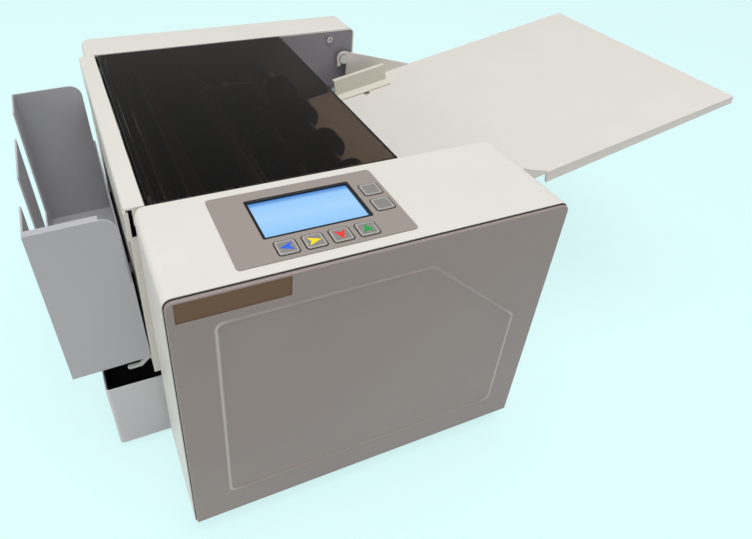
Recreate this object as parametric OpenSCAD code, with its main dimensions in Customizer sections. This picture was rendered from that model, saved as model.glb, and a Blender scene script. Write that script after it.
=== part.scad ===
// Desktop card cutter: a sheet lies on the sloping feed tray at the right, is pulled between the two
// cabinets, slit lengthwise by round knives, cut across by a guillotine blade, and the cards drop into
// the bin at the left while the trimmings fall into the drawer below.
// Millimetres, +X towards the feed tray, +Y towards the rear cabinet, +Z up, table at Z = 0.

/* [Cabinets] */
// Width of both cabinets, left to right
body_w = 266; // [260:1:290]
// Depth of the front cabinet
front_d = 87; // [84:1:100]
// Clear distance between the cabinets, front to back
bay_d = 255; // [252:1:270]
// Depth of the rear cabinet
rear_d = 42; // [38:1:60]
// How much wider the rear cabinet is than the front one, at its right end
rear_extra = 3; // [0:0.5:5]
// Height of the cabinets above the feet
body_h = 213; // [209:1:233]
// Height of the rubber feet
foot_h = 15; // [13:1:20]
// Thickness of the painted sheet steel
sheet_t = 1.5; // [1.2:0.1:2]
// Outside radius of the bends along the top of the cabinets
top_r = 6; // [4:0.5:9]
// Outside radius of the upright corners at the back of each cabinet
corner_r = 7; // [4:0.5:9]
// Thickness of the two steel side frames
frame_t = 4; // [3:0.5:5]

/* [Front panel] */
// Thickness of the front panel
panel_t = 3; // [2.5:0.5:4]
// Width of the shadow gap behind the front panel
seam_w = 0.8; // [0.5:0.1:1.2]
// Height of the raised bead on the front panel
field_h = 0.8; // [0.4:0.1:1.5]
// Width of that bead
bead_w = 2.8; // [2:0.1:4]
// Length of the bare plate at the panel's upper left
plate_w = 65; // [40:1:90]
// Height of that plate
plate_h = 14; // [10:1:18]
// Thickness of that plate
plate_t = 0.6; // [0.4:0.1:0.8]

/* [Controls] */
// Width of the control membrane
overlay_w = 114; // [106:1:124]
// Depth of the control membrane
overlay_d = 71.5; // [69:0.5:73]
// Thickness of the control membrane
overlay_t = 0.6; // [0.4:0.1:1]
// Width of the display's frame
display_w = 72; // [66:1:74]
// Depth of the display's frame
display_d = 41.5; // [38:0.5:43]
// Width of a key cap
key_w = 12.2; // [10:0.1:13]
// Distance between neighbouring arrow keys
key_pitch = 17.1; // [16:0.1:18]
// Travel of a key
key_travel = 1; // [0.6:0.1:1.5]

/* [Lid and middle] */
// Width of the smoked lid
lid_w = 177; // [170:1:184]
// Thickness of the smoked lid
lid_t = 5; // [4:0.5:6]
// How far the middle section stands out to the left of the cabinets
bar_out = 5.5; // [4:0.5:9]
// Height of the crossbar's folded side
bar_h = 25; // [20:1:28]
// Height of the lower edge of the left panel above the table
panel_low = 79; // [78:1:84]

/* [Feed tray] */
// Width of the tray, front to back
tray_w = 245; // [238:1:247]
// Length of the tray along its slope
tray_l = 357; // [320:1:380]
// Slope of the tray in degrees
tray_slope = 11.1; // [8:0.1:12]
// Depth of the tray's folded lips beside the cabinets
tray_lip = 11; // [8:0.5:14]
// Depth of those lips at the outer end
tray_end_lip = 7; // [5:0.5:10]
// Width of the loaded sheet between the side guides
sheet_w = 210; // [205:1:216]
// Height of the side guides
guide_h = 18; // [12:1:24]
// Length of the side guides
guide_l = 60; // [50:1:90]

/* [Card bin] */
// Width of the bin, left to right
bin_w = 55; // [52:1:64]
// Length of the bin, front to back
bin_l = 206; // [196:1:220]
// Height of the bin's tall walls
bin_h = 129; // [120:1:134]
// Height of the bin's low wall on the machine side
bin_low_h = 74; // [70:1:76]
// Outward lean of the hanging bin in degrees
bin_lean = 2; // [1:0.25:2.5]
// Thickness of the bin's sheet steel
bin_t = 1.2; // [1:0.1:1.5]

/* [Waste drawer] */
// How far the shut drawer stands out to the left
drawer_out = 40.5; // [30:0.5:50]
// Length of the drawer
drawer_l = 236; // [200:1:250]
// Height of the drawer
drawer_h = 66.5; // [50:0.5:68]
// Height of the drawer channel's underside above the table
channel_z = 2.2; // [1:0.1:3]

/* [Rollers and knives] */
// Radius of all roller and knife shafts
shaft_r = 4; // [3:0.5:5]
// Radius of the rubber transport rollers
tyre_r = 11; // [10.5:0.1:11.2]
// Radius of the rubber pick-up rollers
pickup_r = 14; // [12:0.5:15]
// Radius of the round slitting knives
knife_r = 13; // [12.8:0.1:13.5]
// Thickness of a slitting knife
knife_t = 1.6; // [1.2:0.1:2.5]
// Width of a finished card across the sheet
card_w = 90; // [85:1:92]
// Travel of the guillotine blade
blade_travel = 9; // [6:0.5:10]

/* [Hidden] */

$fn = 64;
eps = 0.01;

// Gap between parts that pass each other, and radial clearance of a running shaft
gap = 0.3;
run_fit = 0.05;

// Levels
base_z = foot_h;
top_z = foot_h + body_h;
floor_z = base_z + sheet_t;

// Front to back
bay_y0 = front_d;
bay_y1 = front_d + bay_d;
bay_mid = (bay_y0 + bay_y1) / 2;
back_y = bay_y1 + rear_d;
inlet_flange = 2;

// Tray frame: the inner end of the tray's upper face
tray_x0 = 190;
feed_drop = 16.5;
path_z = top_z - 57;
tray_z0 = path_z - feed_drop - 1;
tray_end_x = tray_x0 + tray_l * cos(tray_slope) + tray_end_lip * sin(tray_slope);

// Bin frame: the outer lower edge of its low wall
bin_x = -bar_out + sheet_t - gap;
bin_y = bay_y0 + 5;
bin_z = top_z - 136;
bin_left_x = bin_x - bin_w * cos(bin_lean) - bin_h * sin(bin_lean);

// The part's origin is the centre of its footprint on the table
centre_x = (bin_left_x + tray_end_x) / 2;
centre_y = (back_y + inlet_flange - panel_t - field_h) / 2;

module in_place() {
    translate([-centre_x, -centre_y, 0]) children();
}

// ---- drawing helpers ----

// Extrudes an X-Z outline along Y
module along_y(y0, y1) {
    translate([0, y1, 0]) rotate([90, 0, 0]) linear_extrude(y1 - y0) children();
}

// Extrudes a Y-Z outline along X
module along_x(x0, x1) {
    translate([x0, 0, 0]) rotate([90, 0, 90]) linear_extrude(x1 - x0) children();
}

// Extrudes an X-Y outline along Z
module along_z(z0, z1) {
    translate([0, 0, z0]) linear_extrude(z1 - z0) children();
}

// A box between two corners
module block(a, b) {
    translate(a) cube(b - a);
}

// A round bar along Y
module bar_y(x, z, r, y0, y1) {
    along_y(y0, y1) translate([x, z]) circle(r);
}

// A rectangle between two corners
module area(a, b) {
    translate(a) square(b - a);
}

// A rectangle with four corner radii: lower left, lower right, upper right, upper left
module rounded(a, b, r) {
    difference() {
        area(a, b);
        corner_cut(a, r[0], 0);
        corner_cut([b[0], a[1]], r[1], 90);
        corner_cut(b, r[2], 180);
        corner_cut([a[0], b[1]], r[3], 270);
    }
}

// What a radius takes off one corner of a rectangle
module corner_cut(p, r, turn) {
    if (r > 0)
        translate(p) rotate(turn) difference() {
            translate([-1, -1]) square(r + 1);
            translate([r, r]) circle(r);
        }
}

// A long hole with round ends
module slot2d(length, width) {
    square([length - width, width], center = true);
    for (s = [-1, 1]) translate([s * (length - width) / 2, 0]) circle(width / 2);
}

// ---- gears ----

pressure_angle = 20;
backlash = 0.24;
function inv(a) = tan(a) * 180 / PI - a;
function flank(r, rb) = inv(acos(min(1, rb / r)));

// Half the angle that a tooth takes at radius r
function tooth_half(m, z, r) =
    90 / z - backlash / (m * z) * 90 / PI + inv(pressure_angle) - flank(r, m * z / 2 * cos(pressure_angle));

// Outline of one tooth, from root to tip and back
function tooth(m, z, turn) =
    let (
        rb = m * z / 2 * cos(pressure_angle),
        root = m * z / 2 - 1.25 * m,
        tip = m * z / 2 + m,
        low = max(rb, root) + 0.02,
        radii = [for (k = [0 : 3]) low + (tip - low) * k / 3],
        up = [for (r = radii) polar(r, turn - tooth_half(m, z, r))],
        down = [for (k = [3 : -1 : 0]) polar(radii[k], turn + tooth_half(m, z, radii[k]))]
    )
    concat(
        [polar(root, turn - tooth_half(m, z, low))],
        up,
        down,
        [polar(root, turn + tooth_half(m, z, low))]
    );

function polar(r, a) = [r * cos(a), r * sin(a)];

// A spur gear outline with one tooth at the angle first
module gear2d(m, z, first) {
    polygon([for (i = [0 : z - 1]) each tooth(m, z, first + i * 360 / z)]);
}

// Pitch circles and teeth
roller_m = 0.8;
roller_teeth = 28;
slitter_m = 1;
slitter_teeth = 25;
drive_m = 1;
rack_teeth = 16;
drive_teeth = 40;
motor_teeth = 20;

// ---- positions of the shafts, in the X-Z plane ----

roller_gap = roller_m * roller_teeth / 2;
slitter_gap = slitter_m * slitter_teeth / 2;
pickup_x = 172;
feed_x = 140;
slitter_x = 105;
exit_x = 16;
blade_x = 52;
pickup_at = [pickup_x, path_z + pickup_r + 0.5];
feed_low_at = [feed_x, path_z - roller_gap];
feed_high_at = [feed_x, path_z + roller_gap];
slit_low_at = [slitter_x, path_z - slitter_gap];
slit_high_at = [slitter_x, path_z + slitter_gap];
exit_low_at = [exit_x, path_z - roller_gap];
exit_high_at = [exit_x, path_z + roller_gap];

// The blade's drive shaft stands one pitch radius from the racks
rack_r = drive_m * rack_teeth / 2;
carrier_x0 = blade_x - 14;
drive_at = [carrier_x0 - rack_r, path_z + 25];
cutter_angle = -19.5;
cutter_at = drive_at + polar(drive_m * (drive_teeth + motor_teeth) / 2, cutter_angle);
motor_at = [150, base_z + 85];

SHAFTS = [
    pickup_at, feed_low_at, feed_high_at, slit_low_at, slit_high_at, exit_low_at, exit_high_at, drive_at
];

// Layers inside the front cabinet, counted forwards from the front frame
frame_y0 = bay_y0 - sheet_t - frame_t;
frame_y1 = bay_y0 - sheet_t;
gear_w = 5;
gear_y1 = frame_y0 - 0.5;
gear_y0 = gear_y1 - gear_w;
pulley_w = 7;
layer_step = pulley_w + 1;
function layer_y1(n) = gear_y0 - 1 - (n - 1) * layer_step;
function layer_y0(n) = layer_y1(n) - pulley_w;
pulley_r = 7;
belt_t = 1.5;
belt_gap = 0.4;

// Bearings
bush_r = shaft_r + 3;
bush_flange_r = shaft_r + 5;
bush_flange_t = 1;
shaft_end_y = bay_y1 + frame_t + 2;

// Where the sheet runs between the frames
sheet_y0 = bay_mid - sheet_w / 2;
sheet_y1 = bay_mid + sheet_w / 2;
CUTS = [bay_mid - card_w, bay_mid - 2, bay_mid + 2, bay_mid + card_w];

// ---- sheet metal cabinets ----

// Cross-section of a cabinet, from its lower edge to its bent top corners
module cabinet_section(inset, w) {
    r = max(top_r - inset, 0.5);
    rounded([inset, base_z - 1 + min(inset, 1)], [w - inset, top_z - inset], [0, 0, r, r]);
}

// Plan of a cabinet with two round corners at the back
module cabinet_plan(y0, y1, inset, w) {
    r = max(corner_r - inset, 0.5);
    rounded([inset, y0], [w - inset, y1 - inset], [0, 0, r, r]);
}

// The body of a cabinet: where its section and its plan meet
module cabinet_body(y0, y1, inset, w) {
    intersection() {
        along_y(y0 - 1, y1 + 1) cabinet_section(inset, w);
        along_z(base_z - 5, top_z + 1) cabinet_plan(y0, y1, inset, w);
    }
}

// An open-fronted cabinet of width w
module cabinet_shell(y0, y1, w) {
    difference() {
        cabinet_body(y0, y1, 0, w);
        difference() {
            translate([0, 0, -2]) cabinet_body(y0 - 2, y1, sheet_t, w);
            block([-1, y0 - 5, top_z - sheet_t], [w + 1, y1 + 5, top_z + 5]);
        }
        cabinet_body(y0 - 2, y1, sheet_t, w);
        block([-1, y0 - 3, base_z - 5], [w + 1, y1 + 3, base_z]);
    }
}

// Control layout on the front cabinet's top, from the membrane's edges
overlay_x = 43;
overlay_y = 8;
display_x = overlay_x + 22;
display_y = overlay_y + overlay_d - display_d - 9;
key_x = display_x + 10.4;
key_y = overlay_y + 10;
side_key_x = overlay_x + overlay_w - 9.4;
SIDE_KEY_Y = [display_y + 9.6, display_y + 27.2];
ARROW_X = [for (i = [0 : 3]) key_x + i * key_pitch];
KEY_AT = concat([for (x = ARROW_X) [x, key_y]], [for (y = SIDE_KEY_Y) [side_key_x, y]]);
key_gap = 0.35;
key_flange = 1.2;
key_proud = 0.7;
key_deep = 7;

module key_holes(extra) {
    for (p = KEY_AT)
        rounded(
            p - [1, 1] * (key_w / 2 + extra),
            p + [1, 1] * (key_w / 2 + extra),
            [2, 2, 2, 2]
        );
}

module front_cover() in_place() color("#e4e3dc") {
    difference() {
        cabinet_shell(0, bay_y0, body_w);
        // window in the back wall, filled by the front frame
        along_y(bay_y0 - sheet_t - 1, bay_y0 + 1)
            area([return_w, base_z - 2], [body_w - return_w, top_z - return_w]);
        along_z(top_z - sheet_t - 1, top_z + 1) {
            key_holes(key_gap + key_flange);
            area([display_x, display_y], [display_x + display_w, display_y + display_d]);
        }
        lid_pin_hole(bay_y0 - sheet_t - 1, bay_y0 + 1);
        // notch for the ledge under the lid
        block(
            [lid_x + lid_w - 12 - gap, bay_y0 - sheet_t - 1, rest_z - rest_t - gap],
            [lid_x + lid_w - 2 + gap, bay_y0 + 1, rest_z + gap]
        );
        // the base plate's edge
        block([-1, bay_y0 - corner_r, base_z - 1], [body_w + 1, bay_y0 + 1, floor_z + gap]);
    }
}

// Width of the flange that the front cover turns in behind itself
return_w = 6;

module rear_cover() in_place() color("#e4e3dc") {
    difference() {
        cabinet_shell(bay_y1, back_y, body_w + rear_extra);
        along_y(back_y - sheet_t - 1, back_y + 1) {
            area(inlet_at - inlet_size / 2, inlet_at + inlet_size / 2);
            area(switch_at - switch_size / 2, switch_at + switch_size / 2);
            // air slots
            for (i = [0 : vent_count - 1])
                translate([vent_x + i * vent_step, vent_z]) rotate(90) slot2d(vent_l, vent_w);
        }
    }
}

// Back wall fittings
inlet_size = [27, 20];
inlet_at = [216, base_z + 27];
switch_size = [13, 19];
switch_at = [178, base_z + 27];
vent_count = 12;
vent_x = 40;
vent_step = 8;
vent_z = base_z + 143;
vent_l = 40;
vent_w = 3;

module power_inlet() in_place() color("#1c1c1e") {
    difference() {
        union() {
            along_y(back_y, back_y + inlet_flange)
                rounded(inlet_at - [24, 14], inlet_at + [24, 14], [4, 4, 4, 4]);
            along_y(back_y - 20, back_y)
                area(inlet_at - inlet_size / 2 + [gap, gap], inlet_at + inlet_size / 2 - [gap, gap]);
        }
        along_y(back_y - 15, back_y + inlet_flange + 1)
            polygon([for (p = [[-11.5, -7.5], [11.5, -7.5], [11.5, 3], [7, 7.5], [-7, 7.5], [-11.5, 3]])
                inlet_at + p]);
    }
    // contact blades
    for (p = [[-7, -1.5], [7, -1.5], [0, 2.5]])
        along_y(back_y - 16, back_y - 4) area(inlet_at + p - [1, 2], inlet_at + p + [1, 2]);
}

module power_switch() in_place() color("#202022") {
    along_y(back_y - 9, back_y - 0.2)
        area(switch_at - switch_size / 2 + [0.8, 0.8], switch_at + switch_size / 2 - [0.8, 0.8]);
}

// Outer face of the right panel
side_x = body_w - 3;

module base_plate() in_place() color("#b9bbbd") {
    x0 = sheet_t + gap;
    x1 = body_w - sheet_t - gap;
    x2 = side_x - sheet_t - gap;
    y0 = bay_y0 + 1;
    y1 = bay_y1 - 1;
    difference() {
        union() {
            along_z(base_z, floor_z) {
                area([x0, panel_t], [x1, y0]);
                area([x0, y1], [x1, back_y - corner_r]);
            }
            // sunken channel that the drawer runs in
            block([x0, y0, channel_z], [x2, y1, channel_z + sheet_t]);
            for (y = [y0, y1 - sheet_t]) block([x0, y, channel_z], [x2, y + sheet_t, floor_z + 10]);
            // stop at the drawer's inner end
            block([drawer_in_x + gap, bay_mid - 30, channel_z],
                  [drawer_in_x + gap + sheet_t, bay_mid + 30, floor_z + 16]);
        }
        for (x = [60 : 40 : 220], y = [30, back_y - 25])
            along_z(base_z - 1, floor_z + 1) translate([x, y]) slot2d(24, 4);
    }
}

FOOT_AT = [
    [26, 24], [body_w - 26, 24], [26, back_y - 30], [body_w - 26, back_y - 30]
];
foot_r = 11;

module feet() in_place() color("#26262a") {
    for (p = FOOT_AT) translate([p[0], p[1], 0]) {
        cylinder(h = foot_h - 2, r1 = foot_r - 1.5, r2 = foot_r);
        translate([0, 0, foot_h - 2]) cylinder(h = 2, r = foot_r);
    }
}

// ---- side frames ----

lid_x = 8.7;
barrel_r = 4;
pivot_x = lid_x + barrel_r;
pivot_z = top_z - barrel_r;
pin_r = 1.5;
pin_l = 5;
rest_t = 3;
rest_l = 7;
rest_z = top_z - lid_t - gap;

module lid_pin_hole(y0, y1) {
    bar_y(pivot_x, pivot_z, pin_r + run_fit, y0, y1);
}

// Outline of a side frame, with its lightening windows, inset from the sides of a cabinet of width w
module frame_outline(inset, w) {
    difference() {
        rounded([inset, floor_z], [w - inset, top_z - sheet_t], [0, 0, top_r, top_r]);
        for (p = SHAFTS) translate(p) circle(bush_r);
        rounded([40, base_z + 15], [104, base_z + 63], [6, 6, 6, 6]);
        rounded([body_w - 70, base_z + 15], [body_w - 20, base_z + 113], [6, 6, 6, 6]);
    }
}

// Small ledge that the lid's free edge lies on
module lid_rest(y0, y1) {
    block(
        [lid_x + lid_w - 12, y0, rest_z - rest_t],
        [lid_x + lid_w - 2, y1, rest_z]
    );
}

module front_frame() in_place() color("#8d8f93") {
    difference() {
        union() {
            along_y(frame_y0, frame_y1) frame_outline(corner_r + gap, body_w);
            lid_rest(frame_y1, bay_y0 + rest_l);
        }
        lid_pin_hole(frame_y0 - 1, frame_y1 + 1);
        tray_pin_holes(frame_y0 - 1, frame_y1 + 1);
        tie_holes(frame_y0 - 1, frame_y1 + 1);
    }
}

module rear_frame() in_place() color("#717075") {
    difference() {
        union() {
            along_y(bay_y1, bay_y1 + frame_t) frame_outline(sheet_t, body_w + rear_extra);
            lid_rest(bay_y1 - rest_l, bay_y1);
        }
        lid_pin_hole(bay_y1 - 1, bay_y1 + frame_t + 1);
        tray_pin_holes(bay_y1 - 1, bay_y1 + frame_t + 1);
        tie_holes(bay_y1 - 1, bay_y1 + frame_t + 1);
        bar_y(bolt_at[0], bolt_at[1], 2, bay_y1 - 1, bay_y1 + frame_t + 1);
    }
}

// Round tie rods between the frames
TIE_AT = [[30, base_z + 77], [body_w - 22, base_z + 125], [88, top_z - 21], [body_w - 82, base_z + 77]];
tie_r = 5;
tie_screw_r = 4;

module tie_holes(y0, y1) {
    for (p = TIE_AT) bar_y(p[0], p[1], tie_screw_r, y0, y1);
}

module tie_rods() in_place() color("#b5b7ba") {
    for (p = TIE_AT) {
        bar_y(p[0], p[1], tie_r, frame_y1, bay_y1);
        bar_y(p[0], p[1], tie_screw_r, frame_y0 - 3, bay_y1 + frame_t + 3);
    }
}

// Flanged bushes in both frames
module bearing_bushes() in_place() color("#b08d57") {
    for (p = SHAFTS) {
        bush(p, frame_y0, frame_y1, 1);
        bush(p, bay_y1, bay_y1 + frame_t, -1);
    }
}

// side is 1 where the flange lies behind the frame and -1 where it lies in front
module bush(p, y0, y1, side) {
    f0 = side > 0 ? y1 : y0 - bush_flange_t;
    difference() {
        union() {
            bar_y(p[0], p[1], bush_r, y0, y1);
            bar_y(p[0], p[1], bush_flange_r, f0, f0 + bush_flange_t);
        }
        bar_y(p[0], p[1], shaft_r + run_fit, y0 - 2, y1 + 2);
    }
}

// ---- front panel and its plate ----

// Outline of the front panel with its round upper corners
module panel_outline(inset) {
    r = top_r - inset;
    rounded([inset, base_z + inset], [body_w - inset, top_z - inset], [2, 2, r, r]);
}

panel_edge = 1;
field_x0 = 26.6;
field_x1 = 241.5;
field_z0 = base_z + 26;
field_z1 = base_z + 189.2;
field_cut = [76.5, 68];

// The bead's middle line, moved inwards by d
function field(d) =
    let (
        a = atan(field_cut[1] / field_cut[0]),
        x = field_x1 - field_cut[0] - d * tan(a / 2),
        z = field_z1 - field_cut[1] - d * tan(45 - a / 2)
    )
    [
        [field_x0 + d, field_z0 + d],
        [field_x0 + d, field_z1 - d],
        [x, field_z1 - d],
        [field_x1 - d, z],
        [field_x1 - d, field_z0 + d]
    ];

module front_panel() in_place() color("#b9aeaa") {
    difference() {
        union() {
            along_y(-seam_w, 0) panel_outline(gap + 1.5);
            along_y(-panel_t + panel_edge, -seam_w) panel_outline(gap);
            along_y(-panel_t, -panel_t + panel_edge) panel_outline(gap + panel_edge);
        }
        // recess for the bare plate
        along_y(-panel_t - 1, -panel_t + plate_sink)
            area(plate_at - [0.2, 0.2], plate_at + [plate_w + 0.2, plate_h + 0.2]);
    }
    // raised bead
    along_y(-panel_t - field_h, -panel_t) difference() {
        polygon(field(-bead_w / 2));
        polygon(field(bead_w / 2));
    }
}

plate_sink = 1;
plate_at = [5.8, top_z - 2.6 - plate_h];

module name_plate() in_place() color("#8a7355") {
    along_y(-panel_t + plate_sink - plate_t, -panel_t + plate_sink) area(plate_at, plate_at + [plate_w, plate_h]);
}

// ---- controls ----

module control_membrane() in_place() color("#9f9790") {
    difference() {
        along_z(top_z, top_z + overlay_t)
            rounded([overlay_x, overlay_y], [overlay_x + overlay_w, overlay_y + overlay_d], [2.5, 2.5, 2.5, 2.5]);
        along_z(top_z - 1, top_z + 1 + overlay_t) {
            key_holes(key_gap);
            display_outline();
        }
    }
}

display_rim = 2;

module display_outline() {
    rounded([display_x, display_y], [display_x + display_w, display_y + display_d], [1.5, 1.5, 1.5, 1.5]);
}

module display_frame() in_place() color("#17181a") {
    difference() {
        along_z(board_z + board_t, top_z + overlay_t) display_outline();
        along_z(top_z - 4, top_z + 2)
            area([display_x + display_rim, display_y + display_rim],
                 [display_x + display_w - display_rim, display_y + display_d - display_rim]);
    }
}

module display_glass() in_place() color("#a3d0ff") {
    block([display_x + display_rim, display_y + display_rim, top_z - 4],
          [display_x + display_w - display_rim, display_y + display_d - display_rim, top_z - 1]);
}

// A key: square cap, wider flange below the membrane, and a stem down to the board's switch
module key(p) in_place() color("#a59e96") {
    cap = key_w / 2;
    wide = cap + key_flange - key_gap;
    along_z(top_z - gap, top_z + overlay_t + key_proud)
        rounded(p - [cap, cap], p + [cap, cap], [1.6, 1.6, 1.6, 1.6]);
    along_z(top_z - gap - 1.2, top_z - gap)
        rounded(p - [wide, wide], p + [wide, wide], [1.6, 1.6, 1.6, 1.6]);
    translate([p[0], p[1], top_z - key_deep]) cylinder(h = key_deep - 1, r = 2.5);
}

module key_left() { key(KEY_AT[0]); }
module key_right() { key(KEY_AT[1]); }
module key_down() { key(KEY_AT[2]); }
module key_up() { key(KEY_AT[3]); }
module key_start() { key(KEY_AT[4]); }
module key_cut() { key(KEY_AT[5]); }

board_t = 1.6;
board_z = top_z - 12;
switch_top = top_z - key_deep - key_travel - gap;

module control_board() in_place() color("#2c6b3f") {
    x0 = overlay_x + 4;
    x1 = overlay_x + overlay_w;
    y0 = overlay_y + 2;
    y1 = display_y + display_d + 4;
    along_z(board_z, board_z + board_t) rounded([x0, y0], [x1, y1], [2, 2, 2, 2]);
    // push switches under the keys
    for (p = KEY_AT)
        block([p[0] - 3, p[1] - 3, board_z + board_t], [p[0] + 3, p[1] + 3, switch_top]);
    // standoffs up to the cover
    for (x = [x0 + 5, x1 - 5], y = [y0 + 6, y1 - 6])
        if (x < x1 - 10 || y > y0 + 10)
            translate([x, y, board_z + board_t]) cylinder(h = top_z - sheet_t - board_z - board_t, r = 2.5);
}

// ---- middle section ----

bar_r = 3;
bar_x1 = lid_x - 1;

module crossbar() in_place() color("#e4e3dc") {
    y0 = bay_y0 + 1;
    y1 = bay_y1 - 0.5;
    difference() {
        along_y(y0, y1) difference() {
            rounded([-bar_out, top_z - bar_h], [bar_x1, top_z], [0, 0, 0, bar_r]);
            rounded(
                [-bar_out + sheet_t, top_z - bar_h - 1],
                [lid_x + 1, top_z - sheet_t],
                [0, 0, 0, bar_r - sheet_t]
            );
        }
        // round corner beside the front cabinet
        along_z(top_z - bar_r, top_z + 1)
            corner_cut([-bar_out, y0], 4, 0);
    }
    // fixing tabs on the frames
    for (y = [y0, y1 - sheet_t])
        block([0, y, top_z - 14], [bar_x1 - 2, y + sheet_t, top_z - sheet_t]);
}

exit_z0 = path_z - 4;
exit_z1 = top_z - bar_h - 3;
hook_w = 12;
hook_t = 2;
hook_drop = 8;
hook_lift = 10;
HOOK_Y = [bin_y + 40, bin_y + bin_l - 40 - hook_w];
hook_z = bin_z + bin_low_h - 26;

module left_panel() in_place() color("#d4d3cd") {
    x0 = -bar_out + sheet_t;
    x1 = x0 + sheet_t;
    y0 = bay_y0 + 1;
    y1 = bay_y1 - 0.5;
    difference() {
        union() {
            block([x0, y0, panel_low], [x1, y1, top_z - bar_r - 0.5]);
            // front and rear flanges, screwed to the frames
            for (y = [y0, y1 - sheet_t])
                block([x0, y, panel_low], [table_x0 - 2 * gap, y + sheet_t, top_z - bar_h + 2]);
        }
        // opening for the cards
        along_x(x0 - 1, x1 + 1) rounded(
            [bay_y0 + 14, exit_z0], [bay_y1 - 14, exit_z1], [4, 4, 4, 4]);
        // slots for the bin's hooks
        along_x(x0 - 1, x1 + 1) for (y = HOOK_Y)
            area([y - gap, hook_z - gap], [y + hook_w + gap, hook_z + hook_t + hook_lift + gap]);
        // foot of the finger
        bar_x(finger_at, finger_r, x0 - 1, x1 + 1);
    }
}

module bar_x(p, r, x0, x1) {
    along_x(x0, x1) translate(p) circle(r);
}

finger_r = 1.8;
finger_l = 16;
finger_drop = 6;
finger_at = [bay_y0 + 13, panel_low + 5.5];

// Bent finger with a round tip below the bin
module bin_rest() in_place() color("#ececea") {
    x0 = -bar_out + sheet_t;
    x1 = x0 - 2;
    low = finger_at - [0, finger_drop];
    bar_x(finger_at, finger_r, x1, x0 + sheet_t + 1);
    bar_x(finger_at, finger_r + 1.2, x0 + sheet_t, x0 + sheet_t + 2);
    translate([x1, finger_at[0], finger_at[1]]) {
        sphere(finger_r);
        rotate([0, 225, 0]) cylinder(h = finger_drop * sqrt(2), r = finger_r);
    }
    bar_x(low, finger_r, x0 - finger_l, x1 - finger_drop);
    for (x = [x0 - finger_l, x1 - finger_drop]) translate([x, low[0], low[1]]) sphere(finger_r);
}

module right_panel() in_place() color("#d4d3cd") {
    x1 = side_x;
    y0 = bay_y0 + 1;
    y1 = bay_y1 - 1;
    z1 = tray_z0 - 8;
    block([x1 - sheet_t, y0, channel_z], [x1, y1, z1]);
    block([x1 - 14, y0, z1 - sheet_t], [x1, y1, z1]);
    for (y = [y0, y1 - sheet_t]) block([x1 - 12, y, floor_z + 11], [x1, y + sheet_t, z1]);
}

// ---- lid ----

module lid() in_place() color("#1e1b18", 0.85) {
    y0 = bay_y0 + 1;
    y1 = bay_y1 - 1;
    difference() {
        along_y(y0, y1) {
            area([pivot_x, top_z - lid_t], [lid_x + lid_w, top_z]);
            translate([pivot_x, pivot_z]) circle(barrel_r);
        }
        bar_y(pivot_x, pivot_z, pin_r, y0 - 1, y0 + 12);
        bar_y(pivot_x, pivot_z, pin_r, y1 - 12, y1 + 1);
    }
}

module lid_pins() in_place() color("#c9cbce") {
    y0 = bay_y0 + 1;
    y1 = bay_y1 - 1;
    bar_y(pivot_x, pivot_z, pin_r, y0 - pin_l, y0 + 12);
    bar_y(pivot_x, pivot_z, pin_r, y1 - 12, y1 + pin_l);
}

// ---- feed tray ----

// The tray's own frame: origin at the inner end of its upper face, X up the slope
module tray_frame() {
    translate([tray_x0, bay_mid, tray_z0]) rotate([0, -tray_slope, 0]) children();
}

tray_t = 1.5;
tray_pin_at = [256, top_z - 29.5];
tray_pin_r = 3;
tray_pin_head_r = 5;
tray_pin_head_t = 2;
ear_reach = 149;
ear_start = 60;
ear_heel = [tray_x0, tray_z0] + polar(ear_start, tray_slope);
// the second pair of pins stands left of the tray's wide part and stops it from tipping
tray_stop_at = ear_heel + [-tray_pin_r - gap, -tray_t / 2];
hook_depth = 8;
tray_narrow = 8.5;

module tray_pin_holes(y0, y1) {
    for (p = [tray_pin_at, tray_stop_at]) bar_y(p[0], p[1], 2, y0, y1);
}

// Plain bolt on the rear frame
bolt_at = [240.6, top_z - 9];

// y of the ears' outer faces, counted from the middle of the bay
ear_y = tray_w / 2;

module tray_pins() in_place() color("#c9cbce") {
    inner = bay_mid - ear_y;
    far = bay_mid + ear_y;
    pin_set(frame_y1, inner, 1);
    pin_set(bay_y1, far, -1);
    bar_y(bolt_at[0], bolt_at[1], 2, bay_y1, bay_y1 + frame_t);
    difference() {
        bar_y(bolt_at[0], bolt_at[1], 3.2, bay_y1 - 2.5, bay_y1);
        bar_y(bolt_at[0], bolt_at[1], 1.6, bay_y1 - 3, bay_y1 - 1);
    }
}

// Pins that stand out of a frame at y0 and pass through the ear whose outer face is at y1
module pin_set(y0, y1, side) {
    for (p = [tray_pin_at, tray_stop_at]) {
        ends = [y0 - side * frame_t, y1 + side * (tray_t + gap)];
        tip = [y1 + side * (tray_t + gap), y1 + side * (tray_t + gap + tray_pin_head_t)];
        bar_y(p[0], p[1], tray_pin_r, min(y0, ends[1]), max(y0, ends[1]));
        bar_y(p[0], p[1], 2, min(ends[0], y0), max(ends[0], y0));
        if (p == tray_pin_at) bar_y(p[0], p[1], tray_pin_head_r, min(tip[0], tip[1]), max(tip[0], tip[1]));
    }
}

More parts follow.
